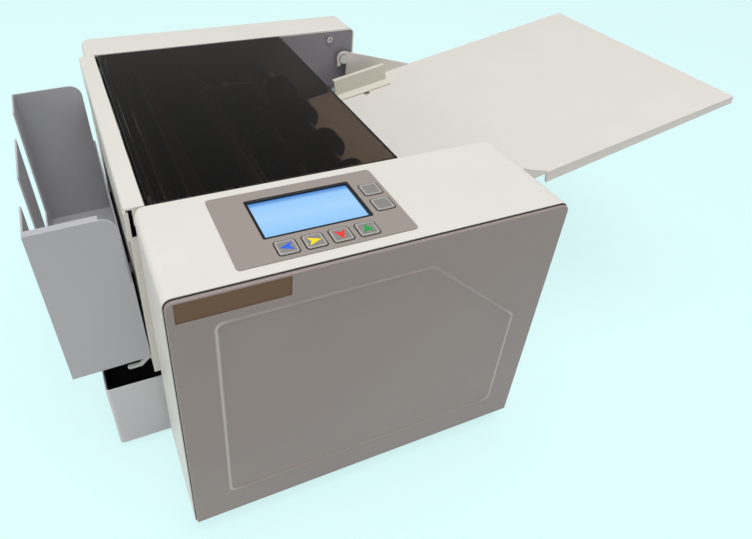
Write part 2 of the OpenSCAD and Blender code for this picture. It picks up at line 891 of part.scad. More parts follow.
// Side view of an ear in machine coordinates: it hooks over the pin and tapers out along the tray
module ear_profile() {
    nose = 7.5;
    tail = [tray_x0, tray_z0] + polar(ear_reach, tray_slope);
    difference() {
        union() {
            translate(tray_pin_at) circle(nose);
            polygon([
                ear_heel + [0, -tray_t],
                tail + [0, -tray_t],
                tail + [0, 1],
                tray_pin_at + polar(nose, 74),
                tray_pin_at + polar(nose, 200),
                [ear_heel[0], tray_pin_at[1] - nose]
            ]);
        }
        // slot over the pin, open below the hook's tip
        translate(tray_pin_at) circle(tray_pin_r + gap);
        area(tray_pin_at - [tray_pin_r + gap, hook_depth], tray_pin_at + [tray_pin_r + gap, 0]);
        translate(tray_pin_at - [30, 30 + hook_depth]) rounded([0, 0], [30 + tray_pin_r + gap, 30], [0, 4, 0, 0]);
    }
}

module feed_tray() in_place() color("#dedad5") {
    half = tray_w / 2;
    tray_frame() {
        difference() {
            union() {
                block([0, tray_narrow - half, -tray_t], [tray_l, half - tray_narrow, 0]);
                block([ear_start, -half, -tray_t], [tray_l, half, 0]);
                // folded lips outside the machine
                for (y = [-half, half - tray_t])
                    along_y(y, y + tray_t)
                        polygon([[ear_reach, 0], [ear_reach, -tray_lip], [tray_l, -tray_end_lip], [tray_l, 0]]);
                block([tray_l - tray_t, -half, -tray_end_lip], [tray_l, half, 0]);
                block([0, tray_narrow - half, -6], [tray_t, half - tray_narrow, 0]);
            }
            // slots that the side guides slide in
            for (s = [-1, 1]) translate([guide_u + guide_l / 2, s * guide_mid, -5])
                rotate(90) linear_extrude(10) slot2d(guide_slot_l, guide_stem_w + 2 * gap);
        }
    }
    for (y = [bay_mid - ear_y, bay_mid + ear_y - tray_t])
        along_y(y, y + tray_t) ear_profile();
}

guide_u = 53;
guide_t = 1.5;
guide_shift = 8;
guide_foot = 12;
guide_stem_w = 6;
guide_mid = sheet_w / 2 - guide_foot / 2;
guide_slot_l = guide_stem_w + 2 * guide_shift + 2 * gap + 2;

// Side guide: upright wall with an outward top lip, a foot under the sheet and a clamp stud below
module guide(side) in_place() color("#dcd8cc") tray_frame() scale([1, side, 1]) {
    y = sheet_w / 2;
    block([guide_u, y, gap], [guide_u + guide_l, y + guide_t, guide_h]);
    block([guide_u, y, guide_h - guide_t], [guide_u + guide_l, y + 5, guide_h]);
    block([guide_u, y - guide_foot, gap], [guide_u + guide_l, y + guide_t, gap + 1]);
    // stem through the tray's slot, and the plate that holds it from below
    translate([guide_u + guide_l / 2, guide_mid, 0]) {
        translate([0, 0, -tray_t - gap]) cylinder(h = tray_t + 2 * gap + 0.5, r = guide_stem_w / 2);
        translate([0, 0, -tray_t - gap - 2]) cylinder(h = 2, r = guide_stem_w / 2 + 3);
    }
}

module guide_front() { guide(-1); }
module guide_rear() { guide(1); }

// ---- card bin ----

// The bin's own frame: origin at the outer lower edge of its low wall, leaning outwards
module bin_frame() {
    translate([bin_x, bin_y, bin_z]) rotate([0, -bin_lean, 0]) children();
}

BIN_STRIPS = [[0, 34], [70, 126], [170, bin_l]];
bin_slot_z = 34;
bin_neck = 1.5;
bin_corner = 10;

// Front and back walls: the machine side steps back above the low wall
module bin_end_wall() {
    difference() {
        union() {
            area([-bin_w, 0], [0, bin_low_h]);
            rounded([-bin_w, 0], [-bin_neck, bin_h], [0, 0, bin_corner, 0]);
        }
    }
}

// Inner face of the bin's hooks, behind the left panel
hook_x = -bar_out + 2 * sheet_t + gap;
fold_w = 6;

module card_bin() in_place() color("#c9c9cb") {
    bin_frame() {
        // fold along the top of the front wall
        block([-bin_w + bin_t, 0, bin_h - bin_t], [-bin_neck - bin_corner, fold_w, bin_h]);
        for (y = [0, bin_l - bin_t]) along_y(y, y + bin_t) bin_end_wall();
        block([-bin_w, 0, 0], [0, bin_l, bin_t]);
        block([-bin_t, 0, 0], [0, bin_l, bin_low_h]);
        block([-bin_w, 0, 0], [-bin_w + bin_t, bin_l, bin_slot_z]);
        for (s = BIN_STRIPS) block([-bin_w, s[0], 0], [-bin_w + bin_t, s[1], bin_h]);
    }
    // hooks through the left panel
    for (y = HOOK_Y) {
        block([bin_x - 2.6, y, hook_z], [hook_x + bin_t, y + hook_w, hook_z + hook_t]);
        block([hook_x, y, hook_z - hook_drop], [hook_x + bin_t, y + hook_w, hook_z + hook_t]);
    }
}

// ---- waste drawer ----

drawer_y0 = bay_y0 + 1 + sheet_t + gap;
drawer_y1 = bay_y1 - 1 - sheet_t - gap;
drawer_z0 = channel_z + sheet_t + gap;
drawer_z1 = drawer_z0 + drawer_h;
drawer_in_x = drawer_l - drawer_out;
drawer_flare = 1.5;

// Side view of the drawer, its walls moved inwards by d, between two levels: the outer wall leans out
module drawer_outline(d, z0, z1) {
    lean = drawer_flare / drawer_h;
    polygon([
        [-drawer_out + d + (drawer_z1 - z0) * lean, z0],
        [-drawer_out + d + (drawer_z1 - z1) * lean, z1],
        [drawer_in_x - d, z1],
        [drawer_in_x - d, z0]
    ]);
}

module waste_drawer() in_place() color("#acacae") {
    difference() {
        along_y(drawer_y0, drawer_y1) drawer_outline(0, drawer_z0, drawer_z1);
        along_y(drawer_y0 + bin_t, drawer_y1 - bin_t) drawer_outline(bin_t, drawer_z0 + bin_t, drawer_z1 + 1);
    }
}

liner_t = 0.8;

module drawer_liner() in_place() color("#0b0b0d") {
    d = bin_t + liner_t;
    difference() {
        along_y(drawer_y0 + bin_t, drawer_y1 - bin_t) drawer_outline(bin_t, drawer_z0 + bin_t, drawer_z1 - 1.5);
        along_y(drawer_y0 + d, drawer_y1 - d) drawer_outline(d, drawer_z0 + d, drawer_z1);
    }
}

// ---- feed table between the frames ----

table_t = 1.5;
table_x0 = 4;
table_x1 = 160;
table_y0 = bay_y0 + 1;
table_y1 = bay_y1 - 1;
window_y0 = bay_y0 + 18;
window_y1 = bay_y1 - 18;

module feed_table() in_place() color("#b9bbbd") {
    z1 = path_z - 1;
    difference() {
        union() {
            along_y(table_y0, table_y1) polygon([
                [table_x0, z1 - table_t],
                [table_x0, z1],
                [table_x1, z1],
                [table_x1 + 4, tray_z0 - 3],
                [tray_x0 - 2, tray_z0 - 1],
                [tray_x0 - 2, tray_z0 - 1 - table_t],
                [table_x1 + 3, tray_z0 - 3 - table_t],
                [table_x1 - 1, z1 - table_t]
            ]);
            // side flanges on the frames
            for (y = [table_y0, table_y1 - table_t])
                block([table_x0, y, z1 - 8], [table_x1 - 4, y + table_t, z1]);
        }
        // windows for the lower rollers and knives
        for (p = [feed_low_at, slit_low_at, exit_low_at])
            table_window(p[0] - 14, p[0] + 12);
        // room for the guillotine, its posts and its lower beam
        table_window(blade_x - 5, blade_x + 7);
        for (y = POST_Y) translate([post_x, y, path_z - 5]) cylinder(h = 10, r = post_r + gap);
        block([beam_x0 - gap, bay_y0, low_beam_z0 - 1], [blade_x + bed_t + 2 + gap, bay_y1, low_beam_z1 + gap]);
        for (p = [feed_low_at, slit_low_at, exit_low_at])
            bar_y(p[0], p[1], bush_flange_r + 0.5, table_y0 - 1, table_y1 + 1);
    }
}

module table_window(x0, x1) {
    along_z(path_z - 3 - table_t, path_z + 2)
        rounded([x0, window_y0], [x1, window_y1], [3, 3, 3, 3]);
}

// ---- shafts with their gears and pulleys ----

// A plain shaft through both frames, from y0 at the front
module shaft(p, y0) {
    bar_y(p[0], p[1], shaft_r, y0, shaft_end_y);
    // collars inside the frames
    bar_y(p[0], p[1], shaft_r + 2, frame_y1 + bush_flange_t + gap, frame_y1 + bush_flange_t + gap + 4);
    bar_y(p[0], p[1], shaft_r + 2, bay_y1 - bush_flange_t - gap - 4, bay_y1 - bush_flange_t - gap);
}

module gear_on(p, m, z, first, y0, y1) {
    along_y(y0, y1) translate(p) gear2d(m, z, first);
}

module pulley_on(p, n) {
    y0 = layer_y0(n);
    y1 = layer_y1(n);
    bar_y(p[0], p[1], pulley_r, y0, y1);
    for (y = [y0 - 0.4, y1 - 0.6]) bar_y(p[0], p[1], pulley_r + belt_t + 1, y, y + 1);
}

// Rubber sleeves in pairs along a shaft
TYRE_Y = [-84, -30, 30, 84];
tyre_w = 20;

module tyres(p, r, width) {
    for (y = TYRE_Y) difference() {
        bar_y(p[0], p[1], r, bay_mid + y - width / 2, bay_mid + y + width / 2);
        bar_y(p[0], p[1], shaft_r, bay_mid + y - width, bay_mid + y + width);
    }
}

half_tooth_roller = 180 / roller_teeth;
half_tooth_slitter = 180 / slitter_teeth;

module pickup_shaft() in_place() color("#c9cbce") {
    shaft(pickup_at, layer_y0(1) - 1);
    pulley_on(pickup_at, 1);
}
module pickup_tyres() in_place() color("#4a4a4d") { tyres(pickup_at, pickup_r, 16); }

module feed_shaft_lower() in_place() color("#c9cbce") {
    shaft(feed_low_at, layer_y0(1) - 1);
    gear_on(feed_low_at, roller_m, roller_teeth, 90, gear_y0, gear_y1);
    pulley_on(feed_low_at, 1);
}
module feed_tyres_lower() in_place() color("#4a4a4d") { tyres(feed_low_at, tyre_r, tyre_w); }

module feed_shaft_upper() in_place() color("#c9cbce") {
    shaft(feed_high_at, layer_y0(1) - 1);
    gear_on(feed_high_at, roller_m, roller_teeth, -90 + half_tooth_roller, gear_y0, gear_y1);
    pulley_on(feed_high_at, 1);
}
module feed_tyres_upper() in_place() color("#4a4a4d") { tyres(feed_high_at, tyre_r, tyre_w); }

module exit_shaft_lower() in_place() color("#c9cbce") {
    shaft(exit_low_at, layer_y0(2) - 1);
    gear_on(exit_low_at, roller_m, roller_teeth, 90, gear_y0, gear_y1);
    pulley_on(exit_low_at, 2);
}
module exit_tyres_lower() in_place() color("#4a4a4d") { tyres(exit_low_at, tyre_r, tyre_w); }

module exit_shaft_upper() in_place() color("#c9cbce") {
    shaft(exit_high_at, gear_y0 - 0.5);
    gear_on(exit_high_at, roller_m, roller_teeth, -90 + half_tooth_roller, gear_y0, gear_y1);
}
module exit_tyres_upper() in_place() color("#4a4a4d") { tyres(exit_high_at, tyre_r, tyre_w); }

module slitter_shaft_lower() in_place() color("#c9cbce") {
    shaft(slit_low_at, layer_y0(3) - 1);
    gear_on(slit_low_at, slitter_m, slitter_teeth, 90, gear_y0, gear_y1);
    pulley_on(slit_low_at, 1);
    pulley_on(slit_low_at, 2);
    pulley_on(slit_low_at, 3);
}

module slitter_shaft_upper() in_place() color("#c9cbce") {
    shaft(slit_high_at, gear_y0 - 0.5);
    gear_on(slit_high_at, slitter_m, slitter_teeth, -90 + half_tooth_slitter, gear_y0, gear_y1);
}

// Round knives: each upper one runs beside its lower one
module knife(p, y, side) {
    y0 = side > 0 ? y + gap / 2 : y - gap / 2 - knife_t;
    hub0 = side > 0 ? y0 + knife_t : y0 - 7;
    difference() {
        union() {
            bar_y(p[0], p[1], knife_r, y0, y0 + knife_t);
            bar_y(p[0], p[1], shaft_r + 4, hub0, hub0 + 7);
        }
        bar_y(p[0], p[1], shaft_r, y0 - 10, y0 + 12);
    }
}

module slitter_knives_lower() in_place() color("#dfe1e4") {
    for (i = [0 : len(CUTS) - 1]) knife(slit_low_at, CUTS[i], i % 2 == 0 ? -1 : 1);
}

module slitter_knives_upper() in_place() color("#dfe1e4") {
    for (i = [0 : len(CUTS) - 1]) knife(slit_high_at, CUTS[i], i % 2 == 0 ? 1 : -1);
}

// ---- guillotine ----

blade_t = 3;
blade_gap = 0.3;
bed_t = 6;
carrier_t = 10;
carrier_y0 = bay_y0 + 5;
carrier_y1 = bay_y1 - 5;
carrier_z0 = path_z + blade_travel + 0.5;
carrier_z1 = carrier_z0 + 28;
post_r = 3;
POST_Y = [bay_y0 + 17.5, bay_y1 - 17.5];
post_x = carrier_x0 + 5.5;
beam_x0 = post_x - 5;
beam_z1 = top_z - lid_t - 4;
beam_z0 = beam_z1 - 6;
low_beam_z1 = path_z - 8;
low_beam_z0 = low_beam_z1 - 12;
rack_w = 7;
rack_len = 30;
RACK_Y = [carrier_y0 + 1, carrier_y1 - 1 - rack_w];

// Two beams across the bay and the posts that guide the blade carrier
module blade_posts() in_place() color("#a8abaf") {
    block([beam_x0, frame_y1, beam_z0], [beam_x0 + 10, bay_y1, beam_z1]);
    block([beam_x0, frame_y1, low_beam_z0], [blade_x + bed_t + 2, bay_y1, low_beam_z1]);
    for (y = POST_Y) translate([post_x, y, low_beam_z1 - 1])
        cylinder(h = beam_z0 - low_beam_z1 + 2, r = post_r);
}

module blade_carrier() in_place() color("#9a9da2") {
    difference() {
        union() {
            block([carrier_x0 + 1.5, carrier_y0, carrier_z0], [carrier_x0 + carrier_t, carrier_y1, carrier_z1]);
            for (y = RACK_Y) along_y(y, y + rack_w) rack2d();
        }
        for (y = POST_Y) translate([post_x, y, carrier_z0 - 1])
            cylinder(h = carrier_z1 - carrier_z0 + 2, r = post_r + run_fit);
        // lightening windows between the posts
        for (i = [-1, 0, 1])
            along_x(carrier_x0 - 2, carrier_x0 + carrier_t + 1)
                rounded([bay_mid + i * 50 - 18, carrier_z0 + 11], [bay_mid + i * 50 + 18, carrier_z1 - 6],
                        [3, 3, 3, 3]);
    }
}

// Rack with its pitch line at carrier_x0 and a space at the drive shaft's height
module rack2d() {
    pitch = PI * drive_m;
    half = pitch / 4 - backlash / 2;
    n = floor(rack_len / pitch / 2);
    slope = tan(pressure_angle);
    area([carrier_x0 + 1.25 * drive_m, drive_at[1] - (n + 0.5) * pitch],
         [carrier_x0 + 4, drive_at[1] + (n + 0.5) * pitch]);
    for (i = [-n : n - 1]) {
        z = drive_at[1] + (i + 0.5) * pitch;
        polygon([
            [carrier_x0 + 1.5 * drive_m, z - half - 1.5 * drive_m * slope],
            [carrier_x0 - 0.9 * drive_m, z - half + 0.9 * drive_m * slope],
            [carrier_x0 - 0.9 * drive_m, z + half - 0.9 * drive_m * slope],
            [carrier_x0 + 1.5 * drive_m, z + half + 1.5 * drive_m * slope]
        ]);
    }
}

blade_y0 = window_y0 + 1.5;
blade_y1 = window_y1 - 1.5;
blade_low = 2.5;
blade_shear = 4;

module moving_blade() in_place() color("#e3e5e8") {
    x1 = blade_x - blade_gap;
    along_x(x1 - blade_t, x1) polygon([
        [blade_y0, path_z + blade_low],
        [blade_y1, path_z + blade_low + blade_shear],
        [blade_y1, carrier_z0 + 10],
        [blade_y0, carrier_z0 + 10]
    ]);
}

module bed_blade() in_place() color("#e3e5e8") {
    difference() {
        block([blade_x, blade_y0, low_beam_z1], [blade_x + bed_t, blade_y1, path_z - 0.5]);
        // bevel towards the exit
        along_y(bay_y0, bay_y1)
            polygon([[blade_x + 2, path_z], [blade_x + bed_t + 1, path_z], [blade_x + bed_t + 1, path_z - 2]]);
    }
}

module blade_drive_shaft() in_place() color("#c9cbce") {
    shaft(drive_at, layer_y0(1) - 1);
    gear_on(drive_at, drive_m, drive_teeth, cutter_angle, layer_y0(1), layer_y1(1));
    for (y = RACK_Y) gear_on(drive_at, drive_m, rack_teeth, 0, y - 0.5, y + rack_w + 0.5);
}

// ---- motors ----

cutter_motor_r = 18;
cutter_plate = cutter_motor_r - 1;
cutter_motor_y1 = layer_y0(3) - 2;
motor_y0 = 6;
CUTTER_FEET = [for (a = [-115, -40, 40, 115]) polar(cutter_motor_r - 1, cutter_angle + a)];

module cutter_motor() in_place() color("#3a3c40") {
    difference() {
        union() {
            bar_y(cutter_at[0], cutter_at[1], cutter_motor_r, motor_y0, cutter_motor_y1 - 3);
            along_y(cutter_motor_y1 - 3, cutter_motor_y1)
                rounded(cutter_at - [1, 1] * cutter_plate, cutter_at + [1, 1] * cutter_plate, [3, 3, 3, 3]);
        }
        bar_y(cutter_at[0], cutter_at[1], 3 + run_fit, cutter_motor_y1 - 14, cutter_motor_y1 + 1);
    }
    // spacers to the front frame
    for (p = CUTTER_FEET) bar_y(cutter_at[0] + p[0], cutter_at[1] + p[1], 2.5, cutter_motor_y1, frame_y0);
}

module cutter_motor_gear() in_place() color("#c9cbce") {
    gear_on(cutter_at, drive_m, motor_teeth, 180 + cutter_angle + 180 / motor_teeth, layer_y0(1), layer_y1(1));
    bar_y(cutter_at[0], cutter_at[1], 3, cutter_motor_y1 - 12, layer_y1(1));
}

main_motor_r = 28;
motor_plate = main_motor_r + 4;
plate_thick = 3;
main_motor_y1 = layer_y0(3) - 3;

module main_motor() in_place() color("#3a3c40") {
    difference() {
        union() {
            bar_y(motor_at[0], motor_at[1], main_motor_r, motor_y0, main_motor_y1 - plate_thick);
            along_y(main_motor_y1 - plate_thick, main_motor_y1)
                area([motor_at[0] - motor_plate, floor_z], motor_at + [1, 1] * motor_plate);
            block([motor_at[0] - motor_plate, main_motor_y1 - main_motor_r, floor_z],
                  [motor_at[0] + motor_plate, main_motor_y1, floor_z + plate_thick]);
        }
        bar_y(motor_at[0], motor_at[1], 4 + run_fit, main_motor_y1 - 20, main_motor_y1 + 1);
    }
}

module main_motor_pulley() in_place() color("#c9cbce") {
    bar_y(motor_at[0], motor_at[1], 4, main_motor_y1 - 18, layer_y0(3));
    pulley_on(motor_at, 3);
}

// A toothed belt around two equal pulleys in layer n
module belt(p, q, n) {
    d = q - p;
    along_y(layer_y0(n) + 1, layer_y1(n) - 1) translate((p + q) / 2) rotate(atan2(d[1], d[0])) difference() {
        slot2d(norm(d) + 2 * (pulley_r + belt_gap + belt_t), 2 * (pulley_r + belt_gap + belt_t));
        slot2d(norm(d) + 2 * (pulley_r + belt_gap), 2 * (pulley_r + belt_gap));
    }
}

module drive_belts() in_place() color("#1d1d1f") {
    belt(motor_at, slit_low_at, 3);
    belt(slit_low_at, exit_low_at, 2);
    belt(slit_low_at, feed_low_at, 1);
    belt(feed_high_at, pickup_at, 1);
}

base_plate();
feet();
front_frame();
rear_frame();
tie_rods();
bearing_bushes();
front_cover();
front_panel();
name_plate();
rear_cover();
crossbar();
left_panel();
right_panel();
control_membrane();
display_frame();
display_glass();
control_board();
key_left();
key_right();
key_down();
key_up();
key_start();
key_cut();
power_inlet();
power_switch();
lid();
lid_pins();
feed_tray();
tray_pins();
guide_front();
guide_rear();
card_bin();
bin_rest();
waste_drawer();
drawer_liner();
feed_table();
pickup_shaft();
pickup_tyres();
feed_shaft_lower();
feed_tyres_lower();
feed_shaft_upper();
feed_tyres_upper();
slitter_shaft_lower();
slitter_knives_lower();
slitter_shaft_upper();
slitter_knives_upper();
exit_shaft_lower();
exit_tyres_lower();
exit_shaft_upper();
exit_tyres_upper();
blade_posts();
blade_carrier();
moving_blade();
bed_blade();
blade_drive_shaft();
cutter_motor();
cutter_motor_gear();
main_motor();
main_motor_pulley();
drive_belts();
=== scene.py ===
# Desktop card cutter. Metres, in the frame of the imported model: +X to the feed tray, +Y to the rear
# cabinet, +Z up, the table at Z = 0. Sizes of pieces are written in millimetres from the front
# cabinet's left front corner, as a fitter would measure them.
import bpy
import bmesh
import numpy as np
from mathutils import Matrix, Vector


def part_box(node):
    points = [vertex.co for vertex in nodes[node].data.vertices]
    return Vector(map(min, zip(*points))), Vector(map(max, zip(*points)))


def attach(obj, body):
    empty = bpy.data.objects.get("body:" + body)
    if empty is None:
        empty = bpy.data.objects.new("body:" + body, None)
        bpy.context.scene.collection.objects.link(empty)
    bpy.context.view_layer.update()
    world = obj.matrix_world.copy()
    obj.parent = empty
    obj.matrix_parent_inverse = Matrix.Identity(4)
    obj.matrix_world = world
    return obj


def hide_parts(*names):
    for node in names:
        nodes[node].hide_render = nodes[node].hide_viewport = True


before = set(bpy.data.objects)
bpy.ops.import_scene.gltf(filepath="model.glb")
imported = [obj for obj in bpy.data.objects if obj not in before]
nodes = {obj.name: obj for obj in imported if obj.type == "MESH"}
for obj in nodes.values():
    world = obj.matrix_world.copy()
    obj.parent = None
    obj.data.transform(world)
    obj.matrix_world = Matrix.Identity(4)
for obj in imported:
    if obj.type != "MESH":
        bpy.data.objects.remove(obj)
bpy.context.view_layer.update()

bpy.context.scene.view_settings.view_transform = "Standard"

# ---------------------------------------------------------------- camera
# The photograph was taken from above the left front corner. The camera's place, turn, focal length and
# middle were fitted to the cabinet's straight edges in it. A name with px counts the photo's pixels.
photo_w, photo_h = 752, 539
focal_px = 629.001
middle_px = (338.407, 222.790)
sensor_mm = 36
corner = np.array([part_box("front_cover")[0][0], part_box("front_cover")[0][1], 0.0])
from_corner = np.array([-0.021588, -0.247202, 0.454305])
# the turn is its axis times its angle in radians
turn = np.array([2.17597247, -0.431927442, 0.284698137])
angle = np.linalg.norm(turn)
axis = turn / angle
cross = np.array([[0, -axis[2], axis[1]], [axis[2], 0, -axis[0]], [-axis[1], axis[0], 0]])
rotation = np.eye(3) + np.sin(angle) * cross + (1 - np.cos(angle)) * cross @ cross
camera_data = bpy.data.cameras.new("camera")
camera_data.sensor_width = sensor_mm
camera_data.lens = focal_px / photo_w * sensor_mm
camera_data.shift_x = (photo_w / 2 - middle_px[0]) / photo_w
camera_data.shift_y = (middle_px[1] - photo_h / 2) / photo_w
camera_data.clip_start = 0.01
camera = bpy.data.objects.new("camera", camera_data)
bpy.context.scene.collection.objects.link(camera)
# the fitted camera has Y down and looks along +Z, Blender's has Y up and looks along -Z
placed = np.eye(4)
placed[:3, 0] = rotation[0]
placed[:3, 1] = -rotation[1]
placed[:3, 2] = -rotation[2]
placed[:3, 3] = from_corner + corner
camera.matrix_world = Matrix(placed.tolist())
bpy.context.scene.camera = camera


# ---------------------------------------------------------------- cabinets: powder coated sheet steel
# Both cabinets, the crossbar and the side panels are folded from 1.5 mm sheet steel and powder coated
# a warm white. The coat flows out to a very fine orange peel with a soft sheen.
def linear(hex_colour):
    """sRGB hex to linear RGBA: each channel c becomes ((c + 0.055) / 1.055) ^ 2.4, or c / 12.92
    where it is dark."""
    channels = np.array([int(hex_colour[i:i + 2], 16) / 255 for i in (1, 3, 5)])
    channels = np.where(channels <= 0.04045, channels / 12.92, ((channels + 0.055) / 1.055) ** 2.4)
    return (*channels.tolist(), 1.0)


def add(material, kind, links=None, **settings):
    """Adds one shader node. Settings name its properties or its inputs, with _ for a space, and links
    maps an input to the socket that feeds it."""
    made = material.node_tree.nodes.new(kind)
    for name, value in settings.items():
        if hasattr(made, name):
            setattr(made, name, value)
        else:
            made.inputs[name.replace("_", " ")].default_value = value
    for name, source in (links or {}).items():
        material.node_tree.links.new(source, made.inputs[name])
    return made


def finish_of(name):
    """An empty material with its output, and the Object coordinates that its patterns read."""
    material = bpy.data.materials.new(name)
    material.use_nodes = True
    material.node_tree.nodes.clear()
    out = add(material, "ShaderNodeOutputMaterial")
    where = add(material, "ShaderNodeTexCoord").outputs["Object"]
    return material, out, where


def noise(material, where, size, detail):
    """The factor of a noise whose blotches are size metres across."""
    pattern = add(material, "ShaderNodeTexNoise", {"Vector": where}, Scale=1 / size, Detail=detail)
    return pattern.outputs["Fac"]


def spread(material, factor, low, high):
    """A factor of 0 to 1 stretched to run from low to high."""
    stretched = add(material, "ShaderNodeMapRange", {"Value": factor}, To_Min=low, To_Max=high)
    return stretched.outputs["Result"]


def end_finish(material, out, height, links, strength, distance, **settings):
    """Ends a finish with its Principled surface, which height raises in a bump of that strength and
    of distance metres. Links and settings give its other inputs."""
    bump = add(material, "ShaderNodeBump", {"Height": height}, Strength=strength, Distance=distance)
    links = {"Normal": bump.outputs["Normal"], **links}
    skin = add(material, "ShaderNodeBsdfPrincipled", links, **settings)
    material.node_tree.links.new(skin.outputs["BSDF"], out.inputs["Surface"])


def dress(finish, *names):
    """Gives the CAD nodes of these names a finish."""
    for name in names:
        slots = nodes[name].material_slots
        if not slots:
            nodes[name].data.materials.append(finish)
        for slot in nodes[name].material_slots:
            slot.material = finish


def powder_coat(name, colour, shade, rough=0.42, painted_highlight=None):
    """Polyester powder coat: the colour wanders a little towards shade over 60 mm, with the sheen, and
    the peel is 1.6 mm across. Where the piece's own point attribute rises to 1, the colour is mixed
    towards the last colour given, a lighter colour that is a painted highlight."""
    cloud_size, peel_size, sheen_range = 0.06, 0.0016, 0.04
    material, out, where = finish_of(name)
    cloud = noise(material, where, cloud_size, 3.0)
    tint = add(material, "ShaderNodeMix", {"Factor": cloud}, data_type="RGBA",
               A=linear(colour), B=linear(shade)).outputs["Result"]
    # painted highlight: the colour is lightened where the piece's point attribute rises
    if painted_highlight:
        highlight_share = add(material, "ShaderNodeAttribute", attribute_name="highlight_share").outputs["Fac"]
        tint = add(material, "ShaderNodeMix", {"Factor": highlight_share, "A": tint}, data_type="RGBA",
                   B=linear(painted_highlight)).outputs["Result"]
    sheen = spread(material, cloud, rough - sheen_range, rough + sheen_range)
    peel = noise(material, where, peel_size, 2.0)
    end_finish(material, out, peel, {"Base Color": tint, "Roughness": sheen},
               strength=0.06, distance=0.0003, IOR=1.5)
    return material


warm_white = powder_coat("powder_coat_warm_white", "#dfddd6", "#d9d6ce")
dress(warm_white, "front_cover", "rear_cover", "crossbar", "left_panel", "right_panel")


# ---------------------------------------------------------------- front panel
# A pressed steel panel closes the front cabinet. Its edge is rolled back all round, a black strip in
# the gap behind it is painted shade for the seam's shadow, and a soft bead pressed up round its field
# to stiffen it is painted lighter as a painted highlight.
def at(points):
    """Millimetres from the cabinet's left front corner to metres in the frame."""
    return np.asarray(points, float) / 1000 + corner


def quads(rows, columns, wrap):
    """Corner numbers of the quads of a grid of points, whose columns close on themselves when wrap
    is set."""
    place = np.arange(rows * columns).reshape(rows, columns)
    if wrap:
        place = np.concatenate([place, place[:, :1]], 1)
    corners = [place[:-1, :-1], place[1:, :-1], place[1:, 1:], place[:-1, 1:]]
    return np.stack(corners, -1).reshape(-1, 4)


def join(*parts):
    """Several (points, faces) pairs as one pair: each one's corner numbers move up by the number of
    points before it."""
    starts = np.cumsum([0] + [len(points) for points, faces in parts[:-1]])
    moved = [faces + start for (points, faces), start in zip(parts, starts)]
    return np.concatenate([points for points, faces in parts]), np.concatenate(moved)


def surface(grid, wrap=False, ends=(False, False)):
    """A grid of points (rows, columns, 3) as points and faces. An end that is set is closed by drawing
    its row together in its middle."""
    rows = [grid]
    if ends[0]:
        rows.insert(0, np.repeat(grid[:1].mean(1, keepdims=True), grid.shape[1], 1))
    if ends[1]:
        rows.append(np.repeat(grid[-1:].mean(1, keepdims=True), grid.shape[1], 1))
    grid = np.concatenate(rows)
    return grid.reshape(-1, 3), quads(grid.shape[0], grid.shape[1], wrap)


def piece(name, shape, finish, body, replaced=()):
    """Makes one piece from points in millimetres and faces: doubles merged, faces turned outwards,
    smooth up to a crease of 38 degrees, riding on a body and standing for the CAD nodes replaced."""
    points, faces = shape
    mesh = bpy.data.meshes.new(name)
    mesh.from_pydata(at(points).tolist(), [], faces.tolist())
    work = bmesh.new()
    work.from_mesh(mesh)
    bmesh.ops.remove_doubles(work, verts=work.verts, dist=1e-6)
    bmesh.ops.recalc_face_normals(work, faces=work.faces)
    work.to_mesh(mesh)
    work.free()
    mesh.shade_smooth()
    mesh.set_sharp_from_angle(angle=np.radians(38))
    mesh.materials.append(finish)
    made = bpy.data.objects.new(name, mesh)
    bpy.context.scene.collection.objects.link(made)
    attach(made, body)
    if replaced:
        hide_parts(*replaced)
    return made


def rings(low, high, radii, profile, steps=9, hold=0.4):
    """Carries a profile round a round-cornered rectangle: for each (d, h) of the profile, the outline
    moved inwards by d at height h. Each corner is a quarter circle whose radius shrinks with d, with
    one more point hold millimetres along the straight side at either end, which keeps the side flat."""
    depth, height = np.asarray(profile, float).T[:, :, None]
    quarter = np.concatenate([[0], np.linspace(0, np.pi / 2, steps), [np.pi / 2]])
    turns = np.concatenate([quarter + number * np.pi / 2 for number in range(4)])
    inward = np.repeat(np.array([[-1, -1], [1, -1], [1, 1], [-1, 1]]), steps + 2, 0)
    tips = np.where(inward < 0, np.array(high, float), np.array(low, float))
    least_radius = 0.25
    radius = np.maximum(np.repeat(np.array(radii, float), steps + 2) - depth, least_radius)
    slide = np.tile(np.concatenate([[-hold], np.zeros(steps), [hold]]), 4)
    centre_x, centre_y = (tips[:, way] + inward[:, way] * (depth + radius) for way in (0, 1))
    across = centre_x + radius * np.cos(turns) - slide * np.sin(turns)
    up = centre_y + radius * np.sin(turns) + slide * np.cos(turns)
    return np.stack([across, up, np.broadcast_to(height, across.shape)], -1)


def roll(depth, height, radius, start, end, steps=7):
    """Part of a profile: an arc of that radius about (depth, height), from start to end degrees."""
    turns = np.radians(np.linspace(start, end, steps))
    return [(depth + radius * np.cos(turn), height + radius * np.sin(turn)) for turn in turns]


def ruled(low, high, plate_edges, bead_lines):
    """Grid lines from low to high: 2.5 mm apart, closer over the bead as each (low, high, step) of
    bead_lines says, with two lines close together at each plate edge and at either end."""
    pairs = [(edge - 0.05, edge + 0.1, 0.1) for edge in plate_edges]
    pairs += [(low, low + 0.4, 0.3), (high - 0.3, high, 0.3)]
    closer = [np.arange(*span) for span in (*bead_lines, *pairs)]
    lines = np.unique(np.round(np.concatenate([np.arange(low, high, 2.5), [high], *closer]), 3))
    return lines[(lines >= low) & (lines <= high)]
